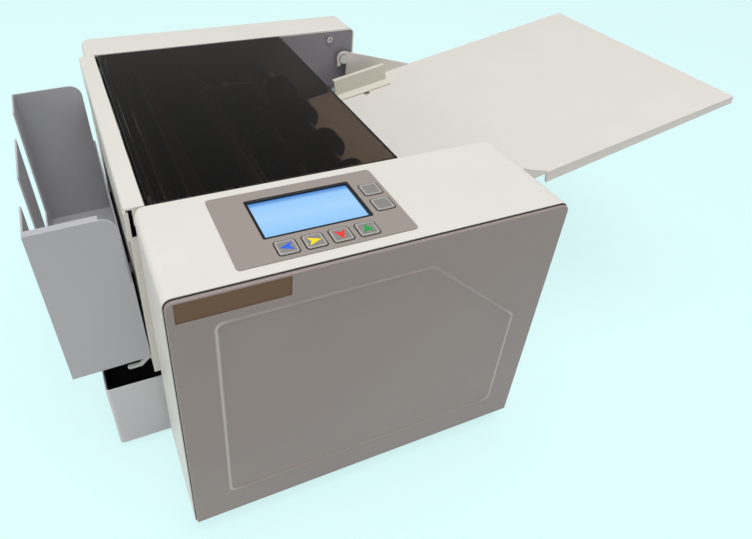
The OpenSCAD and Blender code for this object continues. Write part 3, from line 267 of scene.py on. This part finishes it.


# the third, lighter colour is a painted highlight laid along the bead
panel_greige = powder_coat("powder_coat_panel_greige", "#998c87", "#928581", rough=0.36,
                           painted_highlight="#c4bbb7")
front_w, top_z, panel_foot = 266, 228, 15
inset, fold_r, corner_r, face_y = 1.0, 0.8, 5.0, -3.0
field_low = (inset + fold_r, panel_foot + inset + fold_r)
field_high = (front_w - inset - fold_r, top_z - inset - fold_r)
plate_low, plate_high, recess_depth = (5.6, 211.2), (71.0, 225.6), 1.0
bead_lines_x = ((24.4, 28.8, 0.4), (163, 243.7, 0.5))
bead_lines_z = ((38.8, 43.2, 0.4), (134, 206.4, 0.5))
field_x, field_z = np.meshgrid(
    ruled(field_low[0], field_high[0], (plate_low[0], plate_high[0]), bead_lines_x),
    ruled(field_low[1], field_high[1], (plate_low[1], plate_high[1]), bead_lines_z),
    indexing="ij")
# the bead follows a pentagon whose corners are rounded: the distance to the pentagon drawn in by the
# corner radius, less that radius, is the distance from the bead's middle line
bead_r, bead_half, bead_h = 5.0, 1.5, 0.8
bead_left, bead_right, bead_foot, bead_top = 26.6, 241.5, 41, 204.2
slant_x, slant_z = 165, 136.2
slant = np.arctan2(bead_top - slant_z, bead_right - slant_x)
pentagon = np.array([
    [bead_left + bead_r, bead_foot + bead_r],
    [bead_left + bead_r, bead_top - bead_r],
    [slant_x - bead_r * np.tan(slant / 2), bead_top - bead_r],
    [bead_right - bead_r, slant_z - bead_r * np.tan(np.pi / 4 - slant / 2)],
    [bead_right - bead_r, bead_foot + bead_r]])


def bead_rise(spot):
    """How far the bead stands up at each (x, z), from 0 to 1: a squared cosine across its width."""
    run = np.roll(pentagon, -1, 0) - pentagon
    offset = np.asarray(spot)[..., None, :] - pentagon
    share = np.clip((offset * run).sum(-1) / (run ** 2).sum(-1), 0, 1)
    reach = np.linalg.norm(offset - share[..., None] * run, axis=-1).min(-1)
    inside = (run[:, 1] * offset[..., 0] - run[:, 0] * offset[..., 1] > 0).all(-1)
    away = np.abs(np.where(inside, -reach, reach) - bead_r)
    return np.where(away < bead_half, np.cos(np.pi * away / bead_half / 2) ** 2, 0)


in_recess = ((field_x > plate_low[0]) & (field_x < plate_high[0])
             & (field_z > plate_low[1]) & (field_z < plate_high[1]))
field_y = face_y - bead_h * bead_rise(np.stack([field_x, field_z], -1)) + in_recess * recess_depth
# grid points past a round upper corner are drawn back onto its arc
arc_r, arc_z = corner_r - fold_r, top_z - inset - corner_r
arcs = ((inset + corner_r, -1), (front_w - inset - corner_r, 1))
for arc_x, way in arcs:
    off_x, off_z = field_x - arc_x, field_z - arc_z
    past = (off_x * way > 0) & (off_z > 0)
    pull = np.where(past, arc_r / np.maximum(np.hypot(off_x, off_z), arc_r), 1)
    field_x = np.where(pull < 1, arc_x + off_x * pull, field_x)
    field_z = np.where(pull < 1, arc_z + off_z * pull, field_z)
field = np.stack([field_x, field_y, field_z], -1)
# the field's border is one loop, each sharp lower corner repeated, with the outward direction of every
# point: a side's own, the radius on a round corner, a quarter turn at a sharp one
columns, lines = field_x.shape
fan_steps = 5
fan = np.radians(np.linspace(0, 90, fan_steps))
loop = np.concatenate([
    field[:, 0], field[-1:, 0].repeat(fan_steps, 0), field[-1],
    field[::-1, -1], field[0, ::-1], field[:1, 0].repeat(fan_steps, 0)])
outwards = np.concatenate([
    np.tile((0.0, -1.0), (columns, 1)), np.stack([np.sin(fan), -np.cos(fan)], -1),
    np.tile((1.0, 0.0), (lines, 1)), np.tile((0.0, 1.0), (columns, 1)),
    np.tile((-1.0, 0.0), (lines, 1)), np.stack([-np.cos(fan), -np.sin(fan)], -1)])
for arc_x, way in arcs:
    away = loop[:, [0, 2]] - (arc_x, arc_z)
    far = np.maximum(np.linalg.norm(away, axis=1, keepdims=True), 1e-9)
    outwards = np.where((away[:, :1] * way > 0) & (away[:, 1:] > 0), away / far, outwards)
# the lip is carried along the loop: rolled back round the edge, then turned in behind the field
lip = roll(0, face_y + fold_r, fold_r, 270, 360) + [(fold_r, -1.2), (fold_r, -0.8), (-0.6, -0.8)]
rolled = np.stack([
    np.stack([loop[:, 0] + depth * outwards[:, 0], np.full(len(loop), height),
              loop[:, 2] + depth * outwards[:, 1]], -1)
    for depth, height in lip])
pressing = piece("front_panel_pressing",
                 join(surface(field), surface(rolled, wrap=True, ends=(False, True))),
                 panel_greige, "machine", ["front_panel"])
spots = np.empty(3 * len(pressing.data.vertices))
pressing.data.vertices.foreach_get("co", spots)
spots = (spots.reshape(-1, 3) - corner) * 1000
# painted highlight: the bead is painted lighter, fully along its two upright runs, where light from the
# left would catch its slopes, and a quarter as much along its other runs
panel_mid, upright_from, highlight_fade, least_highlight = 134, 96, 10, 0.25
upright = np.clip((np.abs(spots[:, 0] - panel_mid) - upright_from) / highlight_fade, least_highlight, 1)
highlight_share = pressing.data.attributes.new("highlight_share", "FLOAT", "POINT")
highlight_share.data.foreach_set("value", upright * bead_rise(spots[:, [0, 2]]) * (spots[:, 1] < face_y))


def rubber(name, colour):
    """Matt rubber: a noise of 1.2 mm roughens it and lifts the colour a little on the high spots."""
    material, out, where = finish_of(name)
    grain = noise(material, where, 0.0012, 3.0)
    lifted = tuple(min(1.0, 1.6 * channel + 0.004) for channel in linear(colour)[:3]) + (1.0,)
    tint = add(material, "ShaderNodeMix", {"Factor": grain}, data_type="RGBA",
               A=linear(colour), B=lifted).outputs["Result"]
    end_finish(material, out, grain, {"Base Color": tint},
               strength=0.15, distance=0.0003, Roughness=0.75, IOR=1.52)
    return material


black_rubber = rubber("moulded_black_rubber", "#1a1a1c")
# painted shade: a black rubber strip in the seam behind the panel stands for the seam's shadow, so that
# it shows as a dark line
shade_inset, shade_w, shade_back, shade_front = 0.55, 2.2, -0.02, -0.6
seam_shade_profile = [(0, shade_front), (0, shade_back), (shade_w, shade_back), (shade_w, shade_front),
                (0, shade_front)]
seam_shade = rings((shade_inset, panel_foot + shade_inset), (front_w - shade_inset, top_z - shade_inset),
             (5.4, 5.4, 1.4, 1.4), seam_shade_profile)
piece("panel_seam_shade", surface(seam_shade[..., [0, 2, 1]], wrap=True), black_rubber, "machine")

# ---------------------------------------------------------------- side frames
# Laser-cut steel plates, painted satin grey, that close the inner sides of the cabinets.
frame_grey = powder_coat("satin_grey_enamel", "#8b8990", "#84828a", rough=0.36)
dress(frame_grey, "front_frame", "rear_frame")


# ---------------------------------------------------------------- bare and plated metal
# Shafts and pins are ground steel, the base is zinc plated sheet, the feed table and the blade carrier
# are black oxide, the posts are milled, and the knives are polished tool steel.
def ground_metal(name, colour, rough=0.28, line=0.0006, stretch=(1, 12, 1), depth=0.04):
    """Metal with fine tool marks: a noise of 12 times line metres, squeezed by stretch along each axis,
    drives both roughness and a faint bump."""
    material, out, where = finish_of(name)
    squeezed = add(material, "ShaderNodeMapping", {"Vector": where}, Scale=stretch).outputs["Vector"]
    grain = noise(material, squeezed, line * 12, 4.0)
    sheen = spread(material, grain, rough - 0.08, rough + 0.12)
    end_finish(material, out, grain, {"Roughness": sheen}, strength=depth, distance=0.0002,
               Metallic=1.0, Base_Color=linear(colour))
    return material


ground_steel = ground_metal("ground_steel", "#c4c6c9")
dress(ground_steel, "tie_rods", "lid_pins", "tray_pins", "pickup_shaft", "feed_shaft_lower",
      "feed_shaft_upper", "slitter_shaft_lower", "slitter_shaft_upper", "exit_shaft_lower",
      "exit_shaft_upper", "blade_drive_shaft", "cutter_motor_gear", "main_motor_pulley")
zinc = ground_metal("zinc_plated_sheet", "#a9acb0", rough=0.42, line=0.004, stretch=(1, 1, 1))
dress(zinc, "base_plate")
blackened = ground_metal("black_oxide_sheet", "#2b2a29", rough=0.4, line=0.003, stretch=(1, 1, 1))
dress(blackened, "feed_table", "blade_carrier")
tool_steel = ground_metal("polished_tool_steel", "#d8dadd", rough=0.16, line=0.0005, stretch=(1, 1, 8))
dress(tool_steel, "slitter_knives_lower", "slitter_knives_upper", "moving_blade", "bed_blade")
milled = ground_metal("milled_steel", "#9a9da2", rough=0.36, line=0.0012, stretch=(8, 1, 1))
dress(milled, "blade_posts")
bronze = ground_metal("sintered_bronze", "#a8834f", rough=0.45, line=0.001, stretch=(1, 1, 1))
dress(bronze, "bearing_bushes")

# ---------------------------------------------------------------- rollers, belts and feet: rubber
# Transport rollers are ground nitrile rubber, belts are moulded black rubber, and the feet are moulded
# cones with a groove under their flange.
nitrile = rubber("ground_nitrile_rubber", "#4a4a4d")
dress(nitrile, "pickup_tyres", "feed_tyres_lower", "feed_tyres_upper", "exit_tyres_lower",
      "exit_tyres_upper")
dress(black_rubber, "drive_belts")


def turned(profile, centre, axes=(0, 1, 2), sides=40):
    """Spins a profile of (radius, height) about an axis through centre: radius * cos and radius * sin
    of the angle across it, height along it. axes says which of X, Y and Z each of the three becomes."""
    radius, height = np.asarray(profile, float).T[:, :, None]
    turns = np.linspace(0, 2 * np.pi, sides, endpoint=False)
    along = np.broadcast_to(height, (len(profile), sides))
    grid = np.stack([radius * np.cos(turns), radius * np.sin(turns), along], -1)
    return grid[..., np.argsort(axes)] + np.asarray(centre, float)


tread = [(6, 1.0), (7, 0), (8.8, 0)] + roll(8.9, 0.8, 0.8, 270, 350, 5)
groove = [(10.9, 11.6), (10.4, 12.0), (10.4, 12.6), (10.9, 13.0)]
flange = roll(10.6, 14.4, 0.4, 0, 90, 4) + [(9, 14.98)]
foot = tread + groove + flange
feet = [surface(turned(foot, (foot_x, foot_y, 0)), wrap=True, ends=(True, True))
        for foot_y in (24, 354) for foot_x in (26, 240)]
piece("moulded_feet", join(*feet), black_rubber, "machine", ["feet"])


# ---------------------------------------------------------------- moulded plastics and enamels
# Inlet, switch and small mouldings are ABS, acetal and polystyrene with a spark-eroded texture. The
# board's solder mask and the motors' enamel have the same fine, even grain.
def moulded(name, colour, rough=0.5, grit=0.0008, depth=0.1):
    """Moulded plastic: an even colour and a spark-eroded grain of grit metres."""
    material, out, where = finish_of(name)
    grain = noise(material, where, grit, 2.0)
    sheen = spread(material, grain, rough - 0.06, rough + 0.06)
    end_finish(material, out, grain, {"Roughness": sheen}, strength=depth, distance=0.0002,
               IOR=1.5, Base_Color=linear(colour))
    return material


black_abs = moulded("black_abs", "#1c1c1e")
dress(black_abs, "power_inlet", "power_switch")
white_acetal = moulded("white_acetal", "#e6e6e3", rough=0.35)
dress(white_acetal, "bin_rest")
liner_black = moulded("black_polystyrene", "#09090b", rough=0.6)
dress(liner_black, "drawer_liner")
solder_mask = moulded("green_solder_mask", "#2c6b3f", rough=0.35)
dress(solder_mask, "control_board")
motor_black = moulded("black_motor_enamel", "#2c2e32", rough=0.4)
dress(motor_black, "cutter_motor", "main_motor")

# ---------------------------------------------------------------- bare plate
# A thin brushed plate in a bronze tone, left bare, set into a recess in the panel's upper left corner.
plate_bronze = ground_metal("brushed_bronze_plate", "#7a5846", rough=0.42, line=0.0005,
                            stretch=(1, 1, 14), depth=0.08)
dress(plate_bronze, "name_plate")

# ---------------------------------------------------------------- control membrane and display
# A matt polyester film is bonded to the front cabinet's top. It frames a black bezel with a lit liquid
# crystal display behind a clear window, brighter towards the middle and deeper blue along its top.
membrane_film = moulded("matt_polyester_film", "#988f88", rough=0.45, grit=0.0006, depth=0.05)
dress(membrane_film, "control_membrane")
black_gloss = moulded("gloss_black_abs", "#08080a", rough=0.4, depth=0.02)
rim_foot, rim_side, rim_r, rim_w = 217.6, 227.8, 0.4, 2
rim_z = rim_side + rim_r
rim_profile = [(0, rim_foot), (0, rim_side)] + roll(rim_r, rim_z, rim_r, 180, 90, 5) + [
    (0.8, rim_z + rim_r), (1.3, rim_z + rim_r)] + roll(rim_w - rim_r, rim_z, rim_r, 90, 0, 5) + [
    (rim_w, rim_side), (rim_w, rim_foot), (0, rim_foot)]
bezel = rings((65, 29), (137, 70.5), [1.5] * 4, rim_profile)
piece("display_bezel", surface(bezel, wrap=True), black_gloss, "machine",
      ["display_frame"])
lit, out, where = finish_of("lit_liquid_crystal")
glass_y = at([[0, 31, 0], [0, 68.5, 0]])[:, 1]
depth_of = add(lit, "ShaderNodeSeparateXYZ", {"Vector": where})
climb = add(lit, "ShaderNodeMapRange", {"Value": depth_of.outputs["Y"]},
            From_Min=glass_y[0], From_Max=glass_y[1])
blues = add(lit, "ShaderNodeValToRGB", {"Fac": climb.outputs["Result"]})
for place, blue in ((0.5, "#a9d5ff"), (0.86, "#9bcbfb"), (0.95, "#5f97d6")):
    stop = blues.color_ramp.elements.new(place)
    stop.color = linear(blue)
blues.color_ramp.elements[0].color = linear("#93c8fb")
blues.color_ramp.elements[-1].color = linear("#4f86c8")
glow = add(lit, "ShaderNodeBsdfPrincipled", {"Emission Color": blues.outputs["Color"]},
           Roughness=0.1, IOR=1.5, Base_Color=linear("#26405c"), Emission_Strength=0.9)
lit.node_tree.links.new(glow.outputs["BSDF"], out.inputs["Surface"])
dress(lit, "display_glass")

# ---------------------------------------------------------------- keys
# Six moulded key caps with a raised rim stand through the film, each inside a black printed ring. Four
# carry pad-printed arrowheads, and the two at the right are bare.
key_grey = moulded("grey_key_abs", "#aaa6a2", rough=0.35)
pad_grey = moulded("grey_key_print", "#85827f", rough=0.4, depth=0.03)
print_black = moulded("black_printing_ink", "#101012", rough=0.4, depth=0.02)
# profiles of (inset, height) round a key, and of (radius, height) for its stem
cap = [(0, 226.5), (0, 227.7), (0.85, 227.7), (0.85, 228.7)] + roll(1.25, 228.9, 0.4, 180, 90, 5) + [
    (1.45, 229.3)] + roll(1.55, 229.1, 0.2, 90, 10, 4) + [(1.9, 229.12), (2.6, 229.12)]
stem = [(2.5, 221), (2.5, 226.6)]
ring = [(0, 228.6), (0, 228.66), (0.55, 228.66), (0.55, 228.6), (0, 228.6)]
pad = [(0.3, 229.1), (0, 229.14), (0.3, 229.18)]
cap_half, pad_half = 6.95, 4.9
arrow = np.array([[4.5, 0], [-4.0, 3.7], [-1.9, 0], [-4.0, -3.7]])
arrow_levels = (229.15, 229.23)
inks = {"left": (180, "#2c63dd"), "right": (0, "#f3dd12"),
        "down": (270, "#e8322e"), "up": (90, "#1f9a46")}
key_places = {"left": (75.4, 18), "right": (92.5, 18), "down": (109.6, 18), "up": (126.7, 18),
              "start": (147.6, 38.6), "cut": (147.6, 56.2)}


def round_key(centre, half, radius, profile):
    """Carries a profile round a square of that half side about a key's centre."""
    low, high = np.array(centre) - half, np.array(centre) + half
    return rings(low, high, [radius] * 4, profile, steps=6)


def arrowhead(centre, bearing):
    """A printed arrowhead that points along bearing in degrees: its notch is kept by two quads that
    meet in the middle."""
    cosine, sine = np.cos(np.radians(bearing)), np.sin(np.radians(bearing))
    flat = arrow @ np.array([[cosine, sine], [-sine, cosine]]) + centre
    edge = np.stack([np.c_[flat, np.full(len(arrow), level)] for level in arrow_levels])
    top = np.concatenate([edge[1], edge[1].mean(0, keepdims=True)])
    return join(surface(edge, wrap=True), (top, np.array([[0, 1, 2, 4], [0, 4, 2, 3]])))


for name, centre in key_places.items():
    body = surface(round_key(centre, cap_half, 2.45, cap), wrap=True, ends=(True, True))
    pin = surface(turned(stem, (*centre, 0), sides=20), wrap=True, ends=(True, True))
    printed_ring = surface(round_key(centre, cap_half, 2.2, ring), wrap=True)
    printed_field = surface(round_key(centre, pad_half, 1.0, pad), wrap=True, ends=(True, True))
    piece(f"key_cap_{name}", join(body, pin), key_grey, f"{name}_key", [f"key_{name}"])
    piece(f"key_ring_{name}", printed_ring, print_black, "machine")
    piece(f"key_field_{name}", printed_field, pad_grey, f"{name}_key")
    if name in inks:
        bearing, colour = inks[name]
        ink = moulded(f"pad_printed_ink_{name}", colour, rough=0.35, depth=0.02)
        piece(f"key_arrow_{name}", arrowhead(centre, bearing), ink, f"{name}_key")

# ---------------------------------------------------------------- lid
# One sheet of smoked acrylic, 5 mm thick, cast with its hinge barrel and flame polished at the edges.
# It is near black, and what lies under it shows only faintly.
barrel_x, barrel_z, barrel_r = 12.7, 224.0, 4.0
lid_end, lid_top, lid_under, edge_r = 185.7, 228.0, 223.0, 1.1
lid_y = (88.0, 341.0)
barrel_arc = np.radians(np.linspace(178, 90, 12))
run_out = np.radians(np.linspace(-80, -14.5, 7))
edge_arc = np.radians(np.append(np.linspace(90, 10, 7), 3))
edge_in = edge_r - edge_r * np.sin(edge_arc)
# each section is (x, underside, top, inset of the ends): the barrel's left half, the run-out of its
# right half into the sheet, the sheet, and a quarter round at the free edge
lid_sections = np.concatenate([
    np.stack([barrel_x + barrel_r * np.cos(barrel_arc), barrel_z - barrel_r * np.sin(barrel_arc),
              barrel_z + barrel_r * np.sin(barrel_arc), 0 * barrel_arc], -1),
    np.stack([barrel_x + barrel_r * np.cos(run_out), barrel_z + barrel_r * np.sin(run_out),
              lid_top + 0 * run_out, 0 * run_out], -1),
    [[17.5, lid_under, lid_top, 0], [lid_end - edge_r - 0.5, lid_under, lid_top, 0]],
    np.stack([lid_end - edge_r + edge_r * np.cos(edge_arc), lid_under + edge_in,
              lid_top - edge_in, edge_in], -1)])


def bar(sections, y0, y1, edge):
    """A bar along X from sections of (x, lowest z, highest z, inset): at each x a rectangle between
    those heights and between y0 and y1 drawn in by the inset, its corners rounded with radius edge."""
    rows = []
    for across, low, high, drawn_in in sections:
        radius = min(edge, 0.49 * (high - low))
        outline = rings((y0 + drawn_in, low), (y1 - drawn_in, high), [radius] * 4, [(0, across)],
                        steps=5, hold=0.25)
        rows.append(outline[0])
    return surface(np.stack(rows)[..., [2, 0, 1]], wrap=True, ends=(True, True))


# the index of refraction is low for acrylic: it stands for the sheet's anti-glare coat, which keeps the
# lid dark under the overhead light
smoked, out, where = finish_of("smoked_cast_acrylic")
pane = add(smoked, "ShaderNodeBsdfPrincipled", Roughness=0.04, IOR=1.22, Base_Color=linear("#66594d"),
           Transmission_Weight=1.0)
smoked.node_tree.links.new(pane.outputs["BSDF"], out.inputs["Surface"])
piece("lid_sheet", bar(lid_sections, *lid_y, edge_r), smoked, "lid", ["lid"])

# ---------------------------------------------------------------- sheet sensor under the lid
# A zinc plated bracket sits on the tie rod under the lid, held by two domed screws, and a thin lever
# reaches from it towards the paper's edge. They are what shows through the smoked sheet.
bracket_top = 214
bracket = np.array([[84, 201.5, bracket_top, 0], [85, 201.2, bracket_top, 0],
                    [116, 201.2, bracket_top, 0], [117, 201.5, bracket_top, 0]])


def tube(path, radius, sides=12):
    """A round rod along a path: at each point a circle across the middle direction of its two runs."""
    path = np.asarray(path, float)
    along = np.gradient(path, axis=0)
    along /= np.linalg.norm(along, axis=1, keepdims=True)
    # any direction that no rod runs along will do to measure the circle from
    across = np.cross(along, (0.31, 0.27, 0.91))
    across /= np.linalg.norm(across, axis=1, keepdims=True)
    over = np.cross(along, across)
    turns = np.linspace(0, 2 * np.pi, sides, endpoint=False)[None, :, None]
    grid = path[:, None] + radius * (np.cos(turns) * across[:, None] + np.sin(turns) * over[:, None])
    return surface(grid, wrap=True, ends=(True, True))


dome = [(3.0, -0.3)] + roll(0, -1.2, 3.6, 19.5, 78, 9)
domes = [surface(turned(dome, (*spot, bracket_top), sides=24), wrap=True, ends=(True, True))
         for spot in ((93.6, 271.3), (109.5, 269.6))]
lever = tube([[113.5, 267.6, 214.6], [127, 265.3, 214.6], [140.6, 263.1, 214.6]], 0.6)
piece("sensor_screws", join(*domes), tool_steel, "machine")
piece("sensor_lever", lever, tool_steel, "machine")
piece("sensor_bracket", bar(bracket, 262.0, 280.0, 0.6), zinc, "machine")


# ---------------------------------------------------------------- feed tray and side guides
# The tray is folded from 1.5 mm steel, its long edges and its outer end hemmed, and powder coated warm
# white. The guides are of the same sheet in cream.
tray_white = powder_coat("powder_coat_tray", "#dfdbd5", "#dad6cf", rough=0.36)
dress(tray_white, "feed_tray")
guide_cream = powder_coat("powder_coat_guides", "#dcd8cb", "#d6d2c4", rough=0.36)
dress(guide_cream, "guide_front", "guide_rear")
tray_foot, tray_slope = (190, 214.5, 153.5), np.radians(11.1)


def on_tray(points):
    """Tray coordinates (u up the slope, v across from its middle, w off its face) to cabinet
    millimetres."""
    u, v, w = np.moveaxis(np.asarray(points, float), -1, 0)
    run, rise = np.cos(tray_slope), np.sin(tray_slope)
    return np.stack([tray_foot[0] + u * run - w * rise, tray_foot[1] + v,
                     tray_foot[2] + u * rise + w * run], -1)


hem_r, hem_w = 0.8, -0.5
hems = [tube(on_tray([[u, v, hem_w] for u in (149.5, 253, 356.2)]), hem_r) for v in (-122, 122)]
hems.append(tube(on_tray([[356.4, v, hem_w] for v in (-121.8, 0, 121.8)]), hem_r))
piece("tray_hems", join(*hems), tray_white, "tray")

# ---------------------------------------------------------------- card bin
# Folded from 1.2 mm sheet and coated a cool grey, with its front wall's top folded over.
bin_grey = powder_coat("powder_coat_cool_grey", "#b8b8bc", "#b2b2b6")
dress(bin_grey, "card_bin")

# ---------------------------------------------------------------- waste drawer
# A folded box of 1.2 mm sheet with rounded corners and a rolled rim; its outer wall leans out a little
# towards the rim.
drawer_t, drawer_low, drawer_rim, rim_roll, lean = 1.2, 4.0, 70.5, 0.6, 1.5
drawer_x, drawer_y, drawer_r = (-40.5, 195.5), (89.8, 339.2), 3.0
outside = [(3.0, drawer_low), (1.5, drawer_low + 0.25), (0, drawer_low + 1.8),
           (0, drawer_low + 2.4), (0, drawer_rim - 1)]
inside = [(drawer_t, drawer_rim - 1), (drawer_t, drawer_low + 2.4),
          (drawer_t + 0.4, drawer_low + 1.5), (3.0, drawer_low + drawer_t)]
drawer_wall = outside + roll(rim_roll, drawer_rim - rim_roll, rim_roll, 180, 0, 9) + inside
drawer_grey = powder_coat("powder_coat_pale_grey", "#cfcfd2", "#c8c8cc")
levels = []
for depth, height in drawer_wall:
    leaning_x = drawer_x[0] + lean * (drawer_rim - height) / (drawer_rim - drawer_low)
    low, high = (leaning_x, drawer_y[0]), (drawer_x[1], drawer_y[1])
    levels.append(rings(low, high, [drawer_r] * 4, [(depth, height)])[0])
piece("drawer_shell", surface(np.stack(levels), wrap=True, ends=(True, True)), drawer_grey,
      "drawer", ["waste_drawer"])

# ---------------------------------------------------------------- marks of the power switch
# White I and O marks are printed on the rocker's two halves.
print_white = moulded("white_printing_ink", "#e8e8e6", rough=0.4, depth=0.02)
mark_x, mark_y, line_r, ring_r, ring_z = 178, 383.7, 0.25, 1.8, 36.5
turns = np.linspace(0, 2 * np.pi, 25)
circle = np.stack([mark_x + ring_r * np.cos(turns), np.full(len(turns), mark_y),
                   ring_z + ring_r * np.sin(turns)], -1)
mark_o = tube(circle, line_r, sides=6)
mark_i = tube([[mark_x, mark_y, height] for height in (45.7, 47.5, 49.3)], line_r, sides=6)
piece("switch_marks", join(mark_o, mark_i), print_white, "switch")


# ---------------------------------------------------------------- cover screws
# Zinc plated socket screws hold the rear cover to its frame and the right panel to its flanges.
def screw(seat, axes):
    """A socket screw on its seat: a turned head 1.5 mm high with a rounded edge and a sunk socket."""
    head, high, socket, edge = 3.2, 1.5, 1.6, 0.5
    profile = [(head * 0.6, -0.3), (head, -0.3), (head, high - edge)] + roll(
        head - edge, high - edge, edge, 0, 90, 4) + [
        (socket + 0.2, high), (socket, high - 0.2), (socket, high - 1.4), (socket * 0.6, high - 1.6)]
    return surface(turned(profile, seat, axes, sides=24), wrap=True, ends=(True, True))


rear_screws = [screw((x, 384, z), (0, 2, 1)) for x in (12, 257) for z in (26, 121, 215)]
panel_screws = [screw((263, y, z), (1, 2, 0)) for y in (95, 334) for z in (34, 88, 138)]
piece("cover_screws", join(*rear_screws, *panel_screws),
      ground_metal("zinc_plated_screw", "#b4b6b8", rough=0.34), "machine")


# ---------------------------------------------------------------- table top and backdrop
# A plain pale table top, and a low round backdrop far behind it that closes the view. What the camera,
# gloss and clear plastic see of them is pale; the table throws neutral light back on the machine, and
# all other light passes through the backdrop.
def show_to_the_eye(material, out, unseen, seen):
    """Camera, glossy and transmission rays meet the shader seen, all others the shader unseen."""
    rays = add(material, "ShaderNodeLightPath").outputs
    direct = add(material, "ShaderNodeMath", {0: rays["Is Camera Ray"], 1: rays["Is Glossy Ray"]},
                 operation="MAXIMUM").outputs["Value"]
    eye = add(material, "ShaderNodeMath", {0: direct, 1: rays["Is Transmission Ray"]},
              operation="MAXIMUM").outputs["Value"]
    mixed = add(material, "ShaderNodeMixShader", {0: eye, 1: unseen, 2: seen})
    material.node_tree.links.new(mixed.outputs["Shader"], out.inputs["Surface"])


def stage_piece(name, points, faces, finish):
    """A mesh of the scene round the machine, in metres."""
    mesh = bpy.data.meshes.new(name)
    mesh.from_pydata(points.tolist(), [], faces.tolist())
    mesh.materials.append(finish)
    made = bpy.data.objects.new(name, mesh)
    bpy.context.scene.collection.objects.link(made)


photo_pale = linear("#e0ffff")
table_top, out, where = finish_of("pale_table_top")
bounce = add(table_top, "ShaderNodeBsdfDiffuse", Color=linear("#efeeec"))
pale = add(table_top, "ShaderNodeBsdfDiffuse", Color=photo_pale)
lit_table = add(table_top, "ShaderNodeEmission", Color=photo_pale)
shown = add(table_top, "ShaderNodeMixShader",
            {1: lit_table.outputs["Emission"], 2: pale.outputs["BSDF"]})
# a fifth of what the eye sees of the table takes light and shadow, the rest is even
shadow_share = 0.2
shown.inputs[0].default_value = shadow_share
show_to_the_eye(table_top, out, bounce.outputs["BSDF"], shown.outputs["Shader"])
table_half = 15.0
table_span = np.linspace(-table_half, table_half, 31)
table_x, table_y = np.meshgrid(table_span, table_span, indexing="ij")
points, faces = surface(np.stack([table_x, table_y, 0 * table_x], -1))
stage_piece("table_top", points, faces[:, ::-1], table_top)

pale_wall, out, where = finish_of("pale_backdrop")
clear = add(pale_wall, "ShaderNodeBsdfTransparent")
wall_glow = add(pale_wall, "ShaderNodeEmission", Strength=0.88, Color=photo_pale)
show_to_the_eye(pale_wall, out, clear.outputs["BSDF"], wall_glow.outputs["Emission"])
wall_r, wall_levels, wall_sides = 14.0, (0.0, 1.0, 3.4), 96
turns = np.linspace(0, 2 * np.pi, wall_sides, endpoint=False)
wall = [np.stack([wall_r * np.cos(turns), wall_r * np.sin(turns), np.full(wall_sides, level)], -1)
        for level in wall_levels]
stage_piece("backdrop", *surface(np.stack(wall), wrap=True), pale_wall)

# ---------------------------------------------------------------- studio light
# An even white surrounding, one large soft light overhead and a weak one from the left.
world = bpy.data.worlds.new("studio")
bpy.context.scene.world = world
world.use_nodes = True
world.node_tree.nodes["Background"].inputs["Color"].default_value = (1, 1, 1, 1)
world.node_tree.nodes["Background"].inputs["Strength"].default_value = 0.34


def soft_light(name, place, target, size, power):
    """A square area light at place, turned so that its -Z axis points at target."""
    data = bpy.data.lights.new(name, "AREA")
    data.size = size
    data.energy = power
    lamp = bpy.data.objects.new(name, data)
    bpy.context.scene.collection.objects.link(lamp)
    away = np.array(place, float) - np.array(target, float)
    away /= np.linalg.norm(away)
    across = np.cross([0.0, 1.0, 0.02], away)
    across /= np.linalg.norm(across)
    lamp_frame = np.eye(4)
    lamp_frame[:3, 0] = across
    lamp_frame[:3, 1] = np.cross(away, across)
    lamp_frame[:3, 2] = away
    lamp_frame[:3, 3] = place
    lamp.matrix_world = Matrix(lamp_frame.tolist())


machine_middle = (0, 0, 0.1)
soft_light("overhead", (-0.1, -0.4, 2.35), machine_middle, 2.0, 45)
soft_light("left_fill", (-2.0, -0.15, 0.7), machine_middle, 0.8, 7.5)
